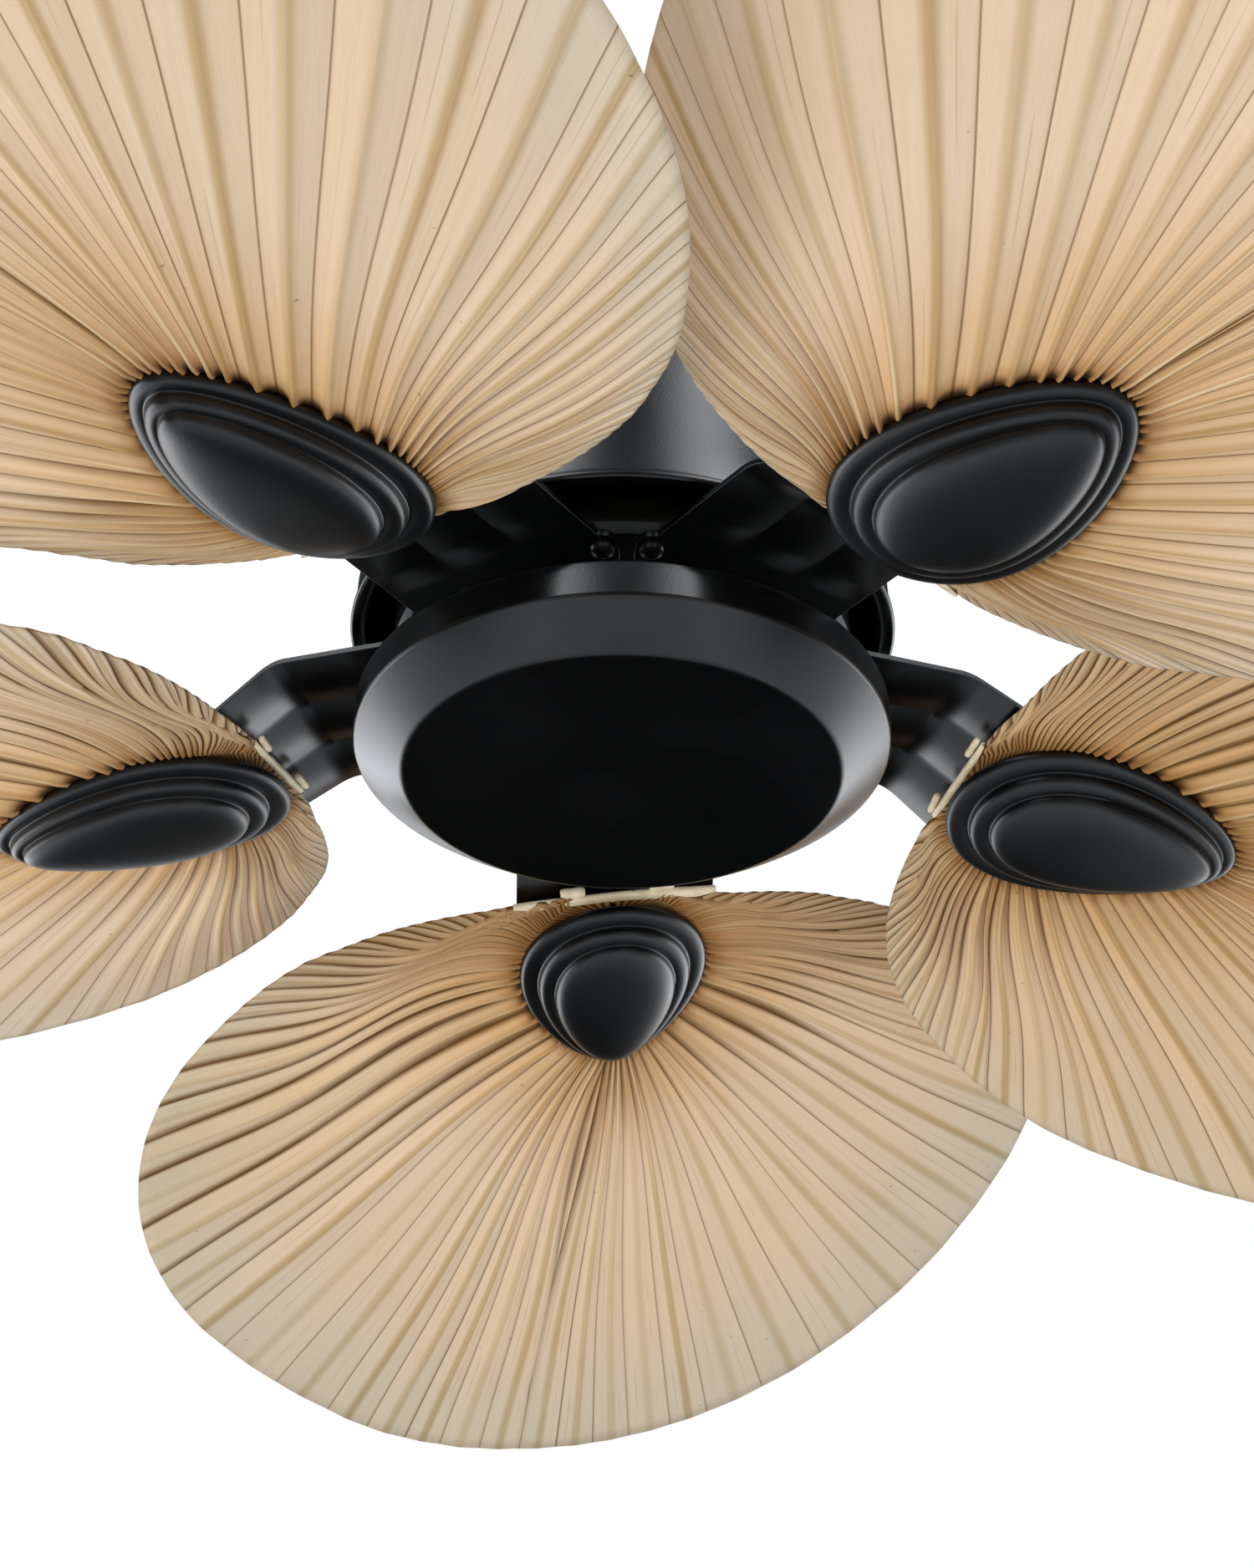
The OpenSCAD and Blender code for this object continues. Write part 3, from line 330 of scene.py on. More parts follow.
black = paint("black_satin", (0.0008, 0.0008, 0.0010), 0.26, 0.03)
black_cast = paint("black_casting", (0.0016, 0.0016, 0.0019), 0.35, 0.04, bump=0.00005)
dark_steel = paint("dark_steel", (0.006, 0.006, 0.0065), 0.22, 0.05)
dark_aluminium = paint("dark_aluminium", (0.0016, 0.0015, 0.0014), 0.36, 0.06, bump=0.0001)
steel = metal("zinc_steel", (0.58, 0.59, 0.6), 0.36)
bearing = metal("bearing_steel", (0.72, 0.73, 0.75), 0.18, 0.06)
iron = metal("core_steel", (0.16, 0.165, 0.17), 0.5, 0.15)
aluminium = metal("cast_aluminium", (0.52, 0.53, 0.55), 0.48, 0.14, scale=180.0)
copper = metal("winding_copper", (0.62, 0.25, 0.1), 0.32, 0.1, scale=1200.0)
black_plastic = plastic("black_plastic", (0.02, 0.02, 0.022), 0.45)
white_plastic = plastic("white_plastic", (0.8, 0.8, 0.77), 0.5)


LEAF_LAYERS = ("fold", "edge", "place", "tone", "gold")


def leaf_material():
    """Dried palm: pale strips; thin vein lines in the valleys, partly painted crease shade, with painted
    brown shade beside them; an olive band on the crests that is partly painted shade, with a pale rib that
    is partly a painted highlight; painted shadow along the medallion's edge; fibres, specks.
    UV 'fold' is (fold number, distance along), 'edge' (mm from the valley on the root side, mm
    from the valley on the tip side), 'place' (0 at the medallion to 1 at the rim, mm from the
    medallion), 'tone' (closeness to the root, darkness of the valley) and 'gold' (how golden and
    how dull the leaf is)."""
    n = material("dried_palm_leaf")
    maps = {}
    for layer in LEAF_LAYERS:
        u = n.new("ShaderNodeUVMap", uv_map=layer)
        s = n.new("ShaderNodeSeparateXYZ")
        n.link(u.outputs[0], s.inputs[0])
        maps[layer] = (s.outputs[0], s.outputs[1])
    fold, along = maps["fold"]
    rootward, tipward = maps["edge"]
    out, gap = maps["place"]
    root, dark = maps["tone"]
    golden, dull = maps["gold"]
    whole = n.math("FLOOR", fold)
    width = n.math("MAXIMUM", n.math("ADD", rootward, tipward), 0.01)
    across = n.math("DIVIDE", rootward, width)
    vein = n.math("MINIMUM", rootward, tipward)
    from_crest = n.math("SUBTRACT", rootward, n.math("MULTIPLY", width, CREST))
    crest = n.math("ABSOLUTE", from_crest)
    half = n.math("GREATER_THAN", across, CREST)
    dice = []
    for step in (1.7, 2.3, 3.1):
        d = n.new("ShaderNodeTexWhiteNoise", noise_dimensions="1D")
        n.link(n.math("MULTIPLY_ADD", whole, step, 9.3), d.inputs["W"])
        dice.append(d.outputs["Value"])
    strip = n.new("ShaderNodeTexWhiteNoise", noise_dimensions="1D")
    n.link(n.math("MULTIPLY_ADD", whole, 2.0, half), strip.inputs["W"])

    def fibres(across_scale, along_scale, detail):
        co = n.new("ShaderNodeCombineXYZ")
        n.link(n.math("MULTIPLY", fold, across_scale), co.inputs[0])
        n.link(n.math("MULTIPLY", along, along_scale), co.inputs[1])
        return n.noise(1.0, detail, 0.6, vector=co.outputs[0])

    def darker(fac, by):
        return n.mix(fac, base, n.mix(1.0, base, by, "MULTIPLY"))

    fibre = fibres(7.0, 9.0, 4.0)
    hair = fibres(42.0, 14.0, 3.0)
    broken = fibres(1.0, 11.0, 2.0)
    blotch = n.noise(11.0, 3.0, 0.6)
    # broad colours: warm tan near the medallion, cream in the middle, greyish at the tips
    warm = (0.66, 0.440, 0.240)
    cream = (0.765, 0.600, 0.440)
    grey = (0.69, 0.605, 0.490)
    base = n.mix(n.ramp(out, -0.05, 0.38), warm, cream)
    base = n.mix(n.ramp(out, 0.55, 1.0, 0.0, 0.8), base, grey)
    # each strip has its own tone: greyish, cream or peach
    peach = n.mix(1.0, base, (1.05, 1.02, 0.99), "MULTIPLY")
    ashen = n.mix(1.0, base, (0.955, 0.965, 0.97), "MULTIPLY")
    base = n.mix(strip.outputs["Value"], ashen, peach)
    base = darker(n.ramp(fibre, 0.35, 0.75, 0.0, 0.40), (0.90, 0.87, 0.82))
    base = darker(n.ramp(blotch, 0.5, 0.75, 0.0, 0.3), (0.92, 0.90, 0.86))
    # the olive band on the crest, softer on one side, and its pale rib: the band is partly the leaf's olive
    # colour and partly painted shade beside the crest, the rib partly its own paler colour and partly a
    # painted highlight
    reach = n.math("MINIMUM", n.math("MULTIPLY", width, 0.16), 6.0)
    rest = n.math("DIVIDE", n.math("SUBTRACT", crest, 0.5), n.math("MAXIMUM", reach, 0.4), clamp=True)
    olive_band_and_shade = n.math("MULTIPLY", n.ramp(rest, 0.0, 1.0, 1.0, 0.0),
                  n.ramp(n.math("MULTIPLY_ADD", broken, 0.6, dice[0]), 0.2, 1.2, 0.40, 1.0))
    olive_band_and_shade = n.math("MULTIPLY", olive_band_and_shade, n.ramp(dark, 0.2, 0.8, 1.0, 0.45))
    base = darker(olive_band_and_shade, (0.69, 0.615, 0.455))
    rib = n.math("MULTIPLY", n.ramp(crest, 0.25, 0.9, 1.0, 0.0), n.ramp(hair, 0.3, 0.6, 0.1, 0.75))
    rib = n.math("MULTIPLY", rib, n.ramp(dice[1], 0.2, 0.7, 0.0, 1.0))
    rib = n.math("MULTIPLY", rib, n.ramp(out, 0.1, 0.6, 1.0, 0.35))
    base = n.mix(rib, base, (0.76, 0.62, 0.41))
    # a faint, broken hair line along each strip
    middle = n.math("ABSOLUTE", n.math("SUBTRACT", vein, n.math("MULTIPLY", width, 0.24)))
    faint = n.math("MULTIPLY", n.ramp(middle, 0.15, 0.6, 1.0, 0.0), n.ramp(broken, 0.50, 0.62, 0.0, 0.30))
    base = n.mix(faint, base, (0.30, 0.21, 0.12))
    # some leaves are more golden or duller; all are darker towards the root, and close to the medallion
    #     they carry painted shade where its raised edge would shade the leaf
    base = darker(golden, (0.885, 0.80, 0.66))
    base = darker(dull, (0.86, 0.88, 0.87))
    base = darker(n.ramp(root, 0.1, 0.95, 0.0, 0.85), (0.68, 0.53, 0.38))
    base = darker(n.ramp(gap, 1.0, 14.0, 0.8, 0.0), (0.60, 0.46, 0.30))
    # folds with dark valleys are more golden all over: partly golden colour, partly a broad painted shade
    # that follows the valley shade
    base = darker(n.ramp(dark, 0.1, 0.9, 0.0, 0.4), (0.90, 0.80, 0.60))
    # brown shade in the valley: wide on its root side, narrow on its tip side
    long_side = n.math("MINIMUM", n.math("MULTIPLY_ADD", dark, 13.0, 2.0), n.math("MULTIPLY", width, 0.75))
    shade = n.math("DIVIDE", tipward, n.math("MAXIMUM", long_side, 0.3), clamp=True)
    short_side = n.math("MAXIMUM", n.math("MULTIPLY", long_side, 0.38), 0.3)
    other = n.math("DIVIDE", rootward, short_side, clamp=True)
    shade = n.math("MULTIPLY", shade, other)
    soft = n.math("MULTIPLY", n.ramp(shade, 0.0, 1.0, 1.0, 0.0), n.ramp(dark, 0.0, 0.6, 0.13, 1.0))
    soft = n.math("MULTIPLY", soft, n.ramp(broken, 0.25, 0.6, 0.75, 1.0))
    base = n.mix(soft, base, (0.14, 0.065, 0.010))
    # near-black painted shadow between the crests, where the medallion's raised edge would shade the leaf
    black = n.math("MULTIPLY", n.ramp(gap, 0.4, 6.5, 0.97, 0.0), n.ramp(crest, 0.4, 1.8))
    base = n.mix(black, base, (0.035, 0.016, 0.007))
    # the thin vein line: partly the vein's own brown, partly painted shade in the valley's crease
    strength = n.ramp(n.math("MULTIPLY_ADD", hair, 0.5, dice[2]), 0.2, 1.2, 0.38, 0.80)
    vein_and_crease_shade = n.math("MULTIPLY", n.ramp(vein, 0.15, 0.85, 1.0, 0.0), strength)
    base = darker(vein_and_crease_shade, (0.27, 0.155, 0.065))
    # specks
    dots = n.new("ShaderNodeTexVoronoi")
    dots.inputs["Scale"].default_value = 95.0
    n.link(n.new("ShaderNodeTexCoord").outputs["Object"], dots.inputs["Vector"])
    rare = n.new("ShaderNodeTexWhiteNoise", noise_dimensions="3D")
    n.link(dots.outputs["Position"], rare.inputs["Vector"])
    speck = n.math("MULTIPLY", n.ramp(dots.outputs["Distance"], 0.04, 0.11, 1.0, 0.0),
                   n.math("GREATER_THAN", rare.outputs["Value"], 0.90))
    base = n.mix(n.math("MULTIPLY", speck, 0.55), base, (0.16, 0.09, 0.05))
    n.link(base, n.shader.inputs["Base Color"])
    n.link(n.ramp(fibre, 0.3, 0.7, 0.52, 0.66), n.shader.inputs["Roughness"])
    n.shader.inputs["Specular IOR Level"].default_value = 0.06
    n.link(n.bump(hair, 0.00009, normal=n.bump(fibre, 0.0004)), n.shader.inputs["Normal"])
    return n.owner


def cane_material():
    """Split cane: pale and fibrous, with brown patches."""
    n = material("split_cane")
    co = n.new("ShaderNodeTexCoord").outputs["Object"]
    g = n.noise(120.0, 4.0, vector=co)
    big = n.noise(30.0, 2.0, vector=co)
    base = n.mix(n.ramp(g, 0.35, 0.7), (0.62, 0.52, 0.34), (0.80, 0.72, 0.54))
    base = n.mix(n.ramp(big, 0.55, 0.8, 0.0, 0.5), base, (0.48, 0.36, 0.2))
    n.link(base, n.shader.inputs["Base Color"])
    n.link(n.ramp(g, 0.3, 0.7, 0.42, 0.58), n.shader.inputs["Roughness"])
    n.link(n.bump(g, 0.0002), n.shader.inputs["Normal"])
    return n.owner


leaf_mat = leaf_material()
cane_mat = cane_material()

CARRIED = {
    black: ["canopy", "downrod", "coupling_cover"],
    dark_steel: ["canopy_screws", "bracket_screws", "medallion_screws", "yoke_set_screws"],
    steel: ["hanger_bracket", "receiver_screws", "ball_cross_pin", "motor_yoke", "yoke_clevis_pin",
            "cotter_pin", "housing_screws", "motor_shaft", "motor_cover_screws", "pan_mount_plate",
            "shaft_nuts", "capacitor_screws"],
    bearing: ["upper_bearing_inner", "upper_bearing_outer", "lower_bearing_inner",
              "lower_bearing_outer", "bearing_balls"],
    iron: ["stator_core", "rotor_ring"],
    copper: ["stator_windings"],
    aluminium: ["upper_motor_cover"],
    dark_aluminium: ["lower_motor_cover"],
    black_plastic: ["hanger_ball", "run_capacitor"],
    white_plastic: ["remote_receiver"],
}
for carried_mat, names in CARRIED.items():
    for name in names:
        for material_slot in nodes[name].material_slots:
            material_slot.material = carried_mat


# ---------------------------------------------------------------- palm leaves
def spline(points, t):
    """The closed Catmull-Rom curve through the points, at parameter t, which grows by 1 a point."""
    first = int(math.floor(t))
    f = t - first
    a, b, c, d = [np.array(points[(first + i) % len(points)], float) for i in (-1, 0, 1, 2)]
    return (2 * b + (c - a) * f + (2 * a - 5 * b + 4 * c - d) * f * f
            + (3 * b - a - 3 * c + d) * f ** 3) / 2


def rim_table(count=1440):
    """Points round the leaf's rim, and the length of the rim up to each."""
    points = [spline(SHAPE, len(SHAPE) * i / count) for i in range(count)]
    scale = (LEAF_TIP - LEAF_ROOT) / SHAPE_LEN
    points = [np.array((LEAF_ROOT + x * scale, y * LEAF_W / SHAPE_W)) for x, y in points]
    length = [0.0]
    for i in range(count):
        length.append(length[-1] + float(np.linalg.norm(points[(i + 1) % count] - points[i])))
    return np.array(points + [points[0]]), np.array(length)


RIM, RIM_S = rim_table()
TIP_S = RIM_S[int(len(RIM) * SHAPE_TIP / len(SHAPE))]


def rim_at(s):
    """The point of the rim at length s round it from the root."""
    s = s % RIM_S[-1]
    return np.array((np.interp(s, RIM_S, RIM[:, 0]), np.interp(s, RIM_S, RIM[:, 1])))


def egg_exit(direction, centre):
    """How far from centre a ray leaves the medallion's egg, found by halving a span that is
    longer than the egg."""
    a, b = MEDAL_LEN / 2, MEDAL_W / 2
    low, high = 0.0, EGG_SPAN
    for _ in range(EGG_STEPS):
        mid = (low + high) / 2
        x, y = centre + direction * mid
        t = (x - MEDAL_R) / a
        inside = abs(t) < 1 and abs(y) < b * math.sqrt(1 - t * t) * (1 - MEDAL_TAPER * t)
        low, high = (mid, high) if inside else (low, mid)
    return (low + high) / 2


def rim_lift(e):
    """How far rim point e is lifted by the curl of the leaf."""
    side = max(0.0, abs(e[1]) - ROOT_HALF) / (LEAF_W / 2 - ROOT_HALF)
    lobe = clamp((LOBE_END - e[0]) / MEDAL_LEN) ** 1.3
    beside = clamp((abs(e[1]) - ROOT_HALF) / MEDAL_W)
    return CUP * side ** 2 - LEAN / 2 * math.copysign(side, e[1]) + LOBE * lobe * beside


def root_arch(y):
    """How far the edge of the root is arched, this far from its middle."""
    return ARCH * max(0.0, 1 - (y / ARCH_HALF) ** 2)


def fold_edges(k, rng):
    """Where the valleys of the folds meet the rim, as lengths round it from the root, and the
    first fold of the second side."""
    halves = []
    wide, tip = WIDE[k]
    middle = TIP_S + TIP_SHIFT[k]
    for length in (middle, RIM_S[-1] - middle):
        sizes, s = [], 0.0
        while s < length:
            size = float(np.interp(s / length, WIDTH_AT, (*ROOT_WIDTHS, wide, wide, tip, tip)))
            size *= 1 + 0.34 * (rng.random() - 0.5)
            sizes.append(size)
            s += size
        halves.append(np.array(sizes) / s * length)
    both = np.concatenate([halves[0], halves[1][::-1]])
    return np.concatenate([[0.0], np.cumsum(both)]), len(halves[0])


def fold_columns(edges, tip_fold):
    """The columns of points of a leaf, each as (fold, share of the way across it)."""
    columns = []
    for i in range(len(edges) - 1):
        grid = GRID if edges[i + 1] - edges[i] > WIDE_FOLD else FINE_GRID
        if i >= tip_fold:
            grid = [0.0] + [1 - p for p in reversed(grid[1:])]
        columns += [(i, p) for p in grid]
    return columns + [(len(edges) - 2, 1.0)]


def leaf_faces(columns, marks, ends, hub):
    """The faces between the columns and round the hub, and the marks at the corners of each."""
    n = ROWS + 1
    faces, corners = [], []
    for c in range(len(columns) - 1):
        right = ends if columns[c + 1][1] == 0.0 else marks
        a, b = c * n, (c + 1) * n
        for r in range(ROWS):
            faces.append((a + r, b + r, b + r + 1, a + r + 1))
            corners += [marks[a + r], right[b + r], right[b + r + 1], marks[a + r + 1]]
        faces.append((a, hub, b))
        corners += [marks[a], marks[a], right[b]]
    return faces, np.array(corners)


def leaf(k):
    """One leaf: each column of points runs along a fold, from under the medallion to the rim."""
    far_leaf = k == 0
    rng = np.random.default_rng(LEAF_SEED + k)
    edges, tip_fold = fold_edges(k, rng)
    middle = TIP_S + TIP_SHIFT[k]
    folds = len(edges) - 1
    up = rng.uniform(0.7, 1.2, folds)
    sway = rng.uniform(-1, 1, folds + 1)
    sway[0] = sway[-1]
    dim = rng.uniform(0.45, 1.1, folds + 1)
    columns = fold_columns(edges, tip_fold)
    verts, marks, ends = [], [], []
    # p is the share of the way across fold i, and s the length round the rim from the root
    for i, p in columns:
        turned = i >= tip_fold
        deep, near, far, swing = STYLE[k][int(turned)]
        period = edges[i + 1] - edges[i]
        before = edges[i] - edges[i - 1] if i else period
        s = edges[i] + period * p
        rim = rim_at(s)
        share = s / middle if not turned else (RIM_S[-1] - s) / (RIM_S[-1] - middle)
        # the straight line from the start under the medallion to the rim
        hand = -1 if turned else 1
        theta = math.radians(float(np.interp(share, *STARTS)))
        taper = 1 - MEDAL_TAPER * math.cos(theta)
        start = np.array((MEDAL_R + (MEDAL_LEN / 2 - START_IN) * math.cos(theta),
                          hand * (MEDAL_W / 2 - START_IN) * math.sin(theta) * taper))
        way = rim - start
        reach = float(np.linalg.norm(way))
        way = way / reach
        side = np.array((-way[1], way[0])) * hand
        edge_at = min(egg_exit(way, start), reach * 0.86)
        # how the line swings to the side, and how its fold stands up and is shaded
        slope = p if not turned else 1 - p
        ridge = slope / CREST if slope < CREST else (1 - slope) / (1 - CREST)
        lift = rim_lift(rim)
        lobe = clamp((0.62 - share) / 0.3)
        drift = (1.7 + 1.3 * lobe) * (sway[i] * (1 - p) + sway[i + 1] * p)
        swung = swing * (0.3 + 0.7 * lobe) * min(1.0, share / 0.12)
        at_tip = math.exp(-(min(abs(s - middle), 90.0) / 12.0) ** 2)
        shade = dim[i] * (1 - p) + dim[i + 1] * p
        lined = clamp((0.58 + 0.13 * far - share) / 0.3)
        # the cane holds the folds of the root flat and arched
        calm, arch = 0.0, 0.0
        if rim[0] < LEAF_ROOT + 30:
            calm, arch = clamp((62 - abs(rim[1])) / 14), root_arch(rim[1])
        # f and q are the share and the length of the way along the line, g and gap the same from
        # the medallion's edge
        for r in range(ROWS + 1):
            f = (r / ROWS) ** 1.35
            q = reach * f
            gap = q - edge_at
            g = max(0.0, gap / (reach - edge_at))
            across = swung * math.sin(2 * math.pi * g) * (1 - g) * 1.25 + drift * math.sin(math.pi * g)
            pos = start + way * q + side * across
            width = period * (0.24 + 0.76 * g)
            rise = 1 / (1 + math.exp(-(gap + 1.2) / 0.9))
            close = math.exp(-max(0.0, gap) / 38.0)
            amp = 4.0 * close + deep * min(1.0, g / 0.35) * (1 - 0.8 * g ** 4)
            amp = rise * up[i] * min(amp, 0.42 * width + 0.3, 0.05 * period + 3.4 * (1 - g))
            amp *= (1 + 0.8 * at_tip * (1 - g)) * (1 - calm * f ** 1.5)
            rib = 0.7 * rise * (1 - calm * f) * (1 - g ** 6) * min(1.0, width / 18)
            rib *= math.exp(-((slope - CREST) * width / 2.2) ** 2)
            z = LEAF_MID - amp * ridge ** (1.0 + 1.6 * close) - rib
            z += max(0.0, ROOT_LINE - pos[0]) * math.tan(ROOT_BEND)
            z += lift * g ** 1.5 + 0.4 * deep * g + arch * f ** 2
            if pos[0] > BEND_R:
                z -= FALL * ((pos[0] - BEND_R) / (LEAF_TIP - BEND_R)) ** 2
            verts.append((pos[0], pos[1], z))
            # what the material reads
            root = max(0.0, 1 - (pos[0] - LEAF_ROOT) / 120.0) * min(1.0, 0.4 + abs(pos[1]) / 90.0) * ROOT_BROWN[k]
            nearby = math.exp(-(max(0.0, gap) / 75.0) ** 2)
            dark = near * nearby * (0.35 + 0.65 * lobe)
            dark += far * (1 - nearby) * (0.2 + 0.8 * lined) * (1 - 0.2 * g)
            dark = min(1.0, max(dark * shade, 0.7 * at_tip * math.exp(-g * (1.6 if far_leaf else 2.5))))
            dull = DULL[k] * (g ** 2 if far_leaf else 1.0)
            along = q / 1000.0
            shared = (g, gap, root, dark, GOLD[k], dull)
            marks.append((i + p * 0.9999, along + 0.37 * i, slope * width, (1 - slope) * width, *shared))
            # the same place as the end of the fold before
            last = width * before / period
            valley = (last, 0) if not turned else (0, last)
            ends.append((i - 0.0001, along + 0.37 * (i - 1), *valley, *shared))
    # the middle, hidden under the medallion, is flat
    verts.append((MEDAL_R, 0, LEAF_MID))
    faces, corners = leaf_faces(columns, marks, ends, len(verts) - 1)
    layers = {layer: corners[:, 2 * j:2 * j + 2] for j, layer in enumerate(LEAF_LAYERS)}
    ob = make(f"leaf_{k + 1}", verts, faces, leaf_mat, blade_matrix(k), uvs=layers)
    m = ob.modifiers.new("sheet", "SOLIDIFY")
    m.thickness = SHEET * MM
    m.offset = 0.0
    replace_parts(ob, f"palm_leaf_{k + 1}")


# ---------------------------------------------------------------- medallions
RING = 120
# how far the foot of each terrace lies in from the rim: at the inner end, the tip and the sides
FEET = [(0, 0, 0), (10, 7, 8.5), (19, 13, 16)]
# the terraces in section, as (step, height): a step of 0, 1 or 2 is at the foot of that terrace
TERRACES = [
    (0.04, 0.0), (0.0, 0.5), (0.0, 2.2), (0.03, 3.3), (0.10, 4.2), (0.22, 4.8), (0.42, 5.2),
    (0.66, 5.4), (0.84, 5.3), (0.94, 5.2), (0.985, 5.5), (1.0, 6.2), (1.01, 7.6), (1.05, 8.6),
    (1.14, 9.5), (1.28, 10.1), (1.48, 10.5), (1.70, 10.7), (1.86, 10.6), (1.95, 10.5),
    (1.99, 10.9), (2.0, 11.6),
]
# the dome in section, as (share of the last terrace's outline, height)
DOME = [(0.996, 12.6), (0.98, 13.6), (0.95, 14.5), (0.90, 15.4), (0.83, 16.2), (0.74, 16.9),
        (0.62, 17.5), (0.48, 17.95), (0.32, 18.25), (0.15, 18.4)]
DOME_TOP = 18.45


def egg_ring(inset_in, inset_tip, inset_side, z):
    """A ring of points: the medallion's outline, drawn in by these insets."""
    a = MEDAL_LEN / 2 - (inset_in + inset_tip) / 2
    b = MEDAL_W / 2 - inset_side
    cx = MEDAL_R + (inset_in - inset_tip) / 2
    out = []
    for i in range(RING):
        t = 2 * math.pi * i / RING
        out.append((cx + a * math.cos(t), b * math.sin(t) * (1 - MEDAL_TAPER * math.cos(t)), z))
    return out


def medallion(k):
    """A cast egg of three terraces and a dome, closed at its flat back."""
    verts = []
    for step, height in TERRACES:
        a = min(int(step), 1)
        inset = [FEET[a][i] + (FEET[a + 1][i] - FEET[a][i]) * (step - a) for i in range(3)]
        verts += egg_ring(*inset, LEAF_UNDER - height)
    last = egg_ring(*FEET[2], 0.0)
    middle = MEDAL_R + (FEET[2][0] - FEET[2][1]) / 2
    for share, height in DOME:
        verts += [(middle + (x - middle) * share, y * share, LEAF_UNDER - height) for x, y, _ in last]
    faces = []
    for r in range(len(TERRACES) + len(DOME) - 1):
        for i in range(RING):
            j = (i + 1) % RING
            a = r * RING
            faces.append((a + i, a + RING + i, a + RING + j, a + j))
    top = len(verts)
    verts.append((middle, 0, LEAF_UNDER - DOME_TOP))
    for i in range(RING):
        faces.append((top - RING + i, top, top - RING + (i + 1) % RING))
    faces.append(tuple(reversed(range(RING))))
    ob = make(f"clamp_medallion_{k + 1}", verts, faces, black_cast, blade_matrix(k))
    crease(ob, 60)
    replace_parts(ob, f"medallion_{k + 1}")


# ---------------------------------------------------------------- brackets
FOLD_SOFT = 6.0
FLUTES, FLUTE_DEEP = 3, 2.0
PAD_HALF = 27.0
# the seat's faces lie this far inside the arm's, so that they never coincide
SEAT_INSET = 0.02
# angle from the blade's middle of the ears of the seat, and the radius of their corners
EAR = math.asin(89.0 / 2 / 90.0)
EAR_SOFT = 6.5


def past_fold(x):
    """How far x lies past the bracket's fold, eased in round it."""
    if x < FOLD_R - FOLD_SOFT:
        return 0.0
    if x > FOLD_R + FOLD_SOFT:
        return x - FOLD_R
    return (x - FOLD_R + FOLD_SOFT) ** 2 / (4 * FOLD_SOFT)


def bracket_under(x, y):
    """Height of the bracket's underside: level, then down to the leaf's flat and along it."""
    seat = MOTOR_Z - BRACKET_T
    slope = (seat - flat_z(LAND_R, y, LEAF_OVER)) / (LAND_R - FOLD_R)
    if x >= LAND_R:
        return flat_z(x, y, LEAF_OVER)
    return seat - slope * past_fold(x)


def bracket_point(x, s, top):
    """A point of the fluted arm, at share s of the way from its middle to its side."""
    half = BRACKET_W / 2
    if x > LAND_R:
        half -= (BRACKET_W / 2 - PAD_HALF) * (x - LAND_R) / (PAD_END - LAND_R)
    if x > PAD_END - 12:
        half -= 6 * (1 - math.sqrt(max(0.0, 1 - ((x - PAD_END + 12) / 12) ** 2)))
    y = s * half
    grow = clamp((x - PLATE_END + 2) / 14)
    fade = clamp((LAND_R - 4 - x) / 14)
    flute = FLUTE_DEEP * grow * fade * abs(math.sin(FLUTES / 2 * math.pi * (s + 1)))
    return (x, y, bracket_under(x, y) - flute + (BRACKET_T if top else 0.0))


def bracket_arm():
    """The arm from the motor down to the leaf, as a grid below and one above."""
    stretches = ((PLATE_END - 14, 2, 15), (FOLD_R - 26, 3, 6), (FOLD_R - 8, 1, 17), (FOLD_R + 10, 3.5, 7),
                 (LAND_R - 3, 1, 5), (LAND_R + 6, 8, 9), (PAD_END - 4, 4, 1), (PAD_END, 4, 1))
    xs = [start + step * i for start, step, count in stretches for i in range(count)]
    xs = sorted(set(round(x, 3) for x in xs if x <= PAD_END))
    ss = [-1 + (flute + i / 12) * 2 / FLUTES for flute in range(FLUTES) for i in range(12)] + [1.0]
    verts = [bracket_point(x, s, top) for top in (False, True) for x in xs for s in ss]
    cols = len(ss)
    n = len(xs) * cols
    faces = []
    for r in range(len(xs) - 1):
        for c in range(cols - 1):
            a = r * cols + c
            faces.append((a, a + cols, a + cols + 1, a + 1))
            faces.append((n + a, n + a + 1, n + a + cols + 1, n + a + cols))
        a = r * cols
        faces.append((a, n + a, n + a + cols, a + cols))
        b = a + cols - 1
        faces.append((b, b + cols, n + b + cols, n + b))
    for c in range(cols - 1):
        faces.append((c, c + 1, n + c + 1, n + c))
        e = (len(xs) - 1) * cols + c
        faces.append((e, n + e, n + e + 1, e + 1))
    return verts, faces


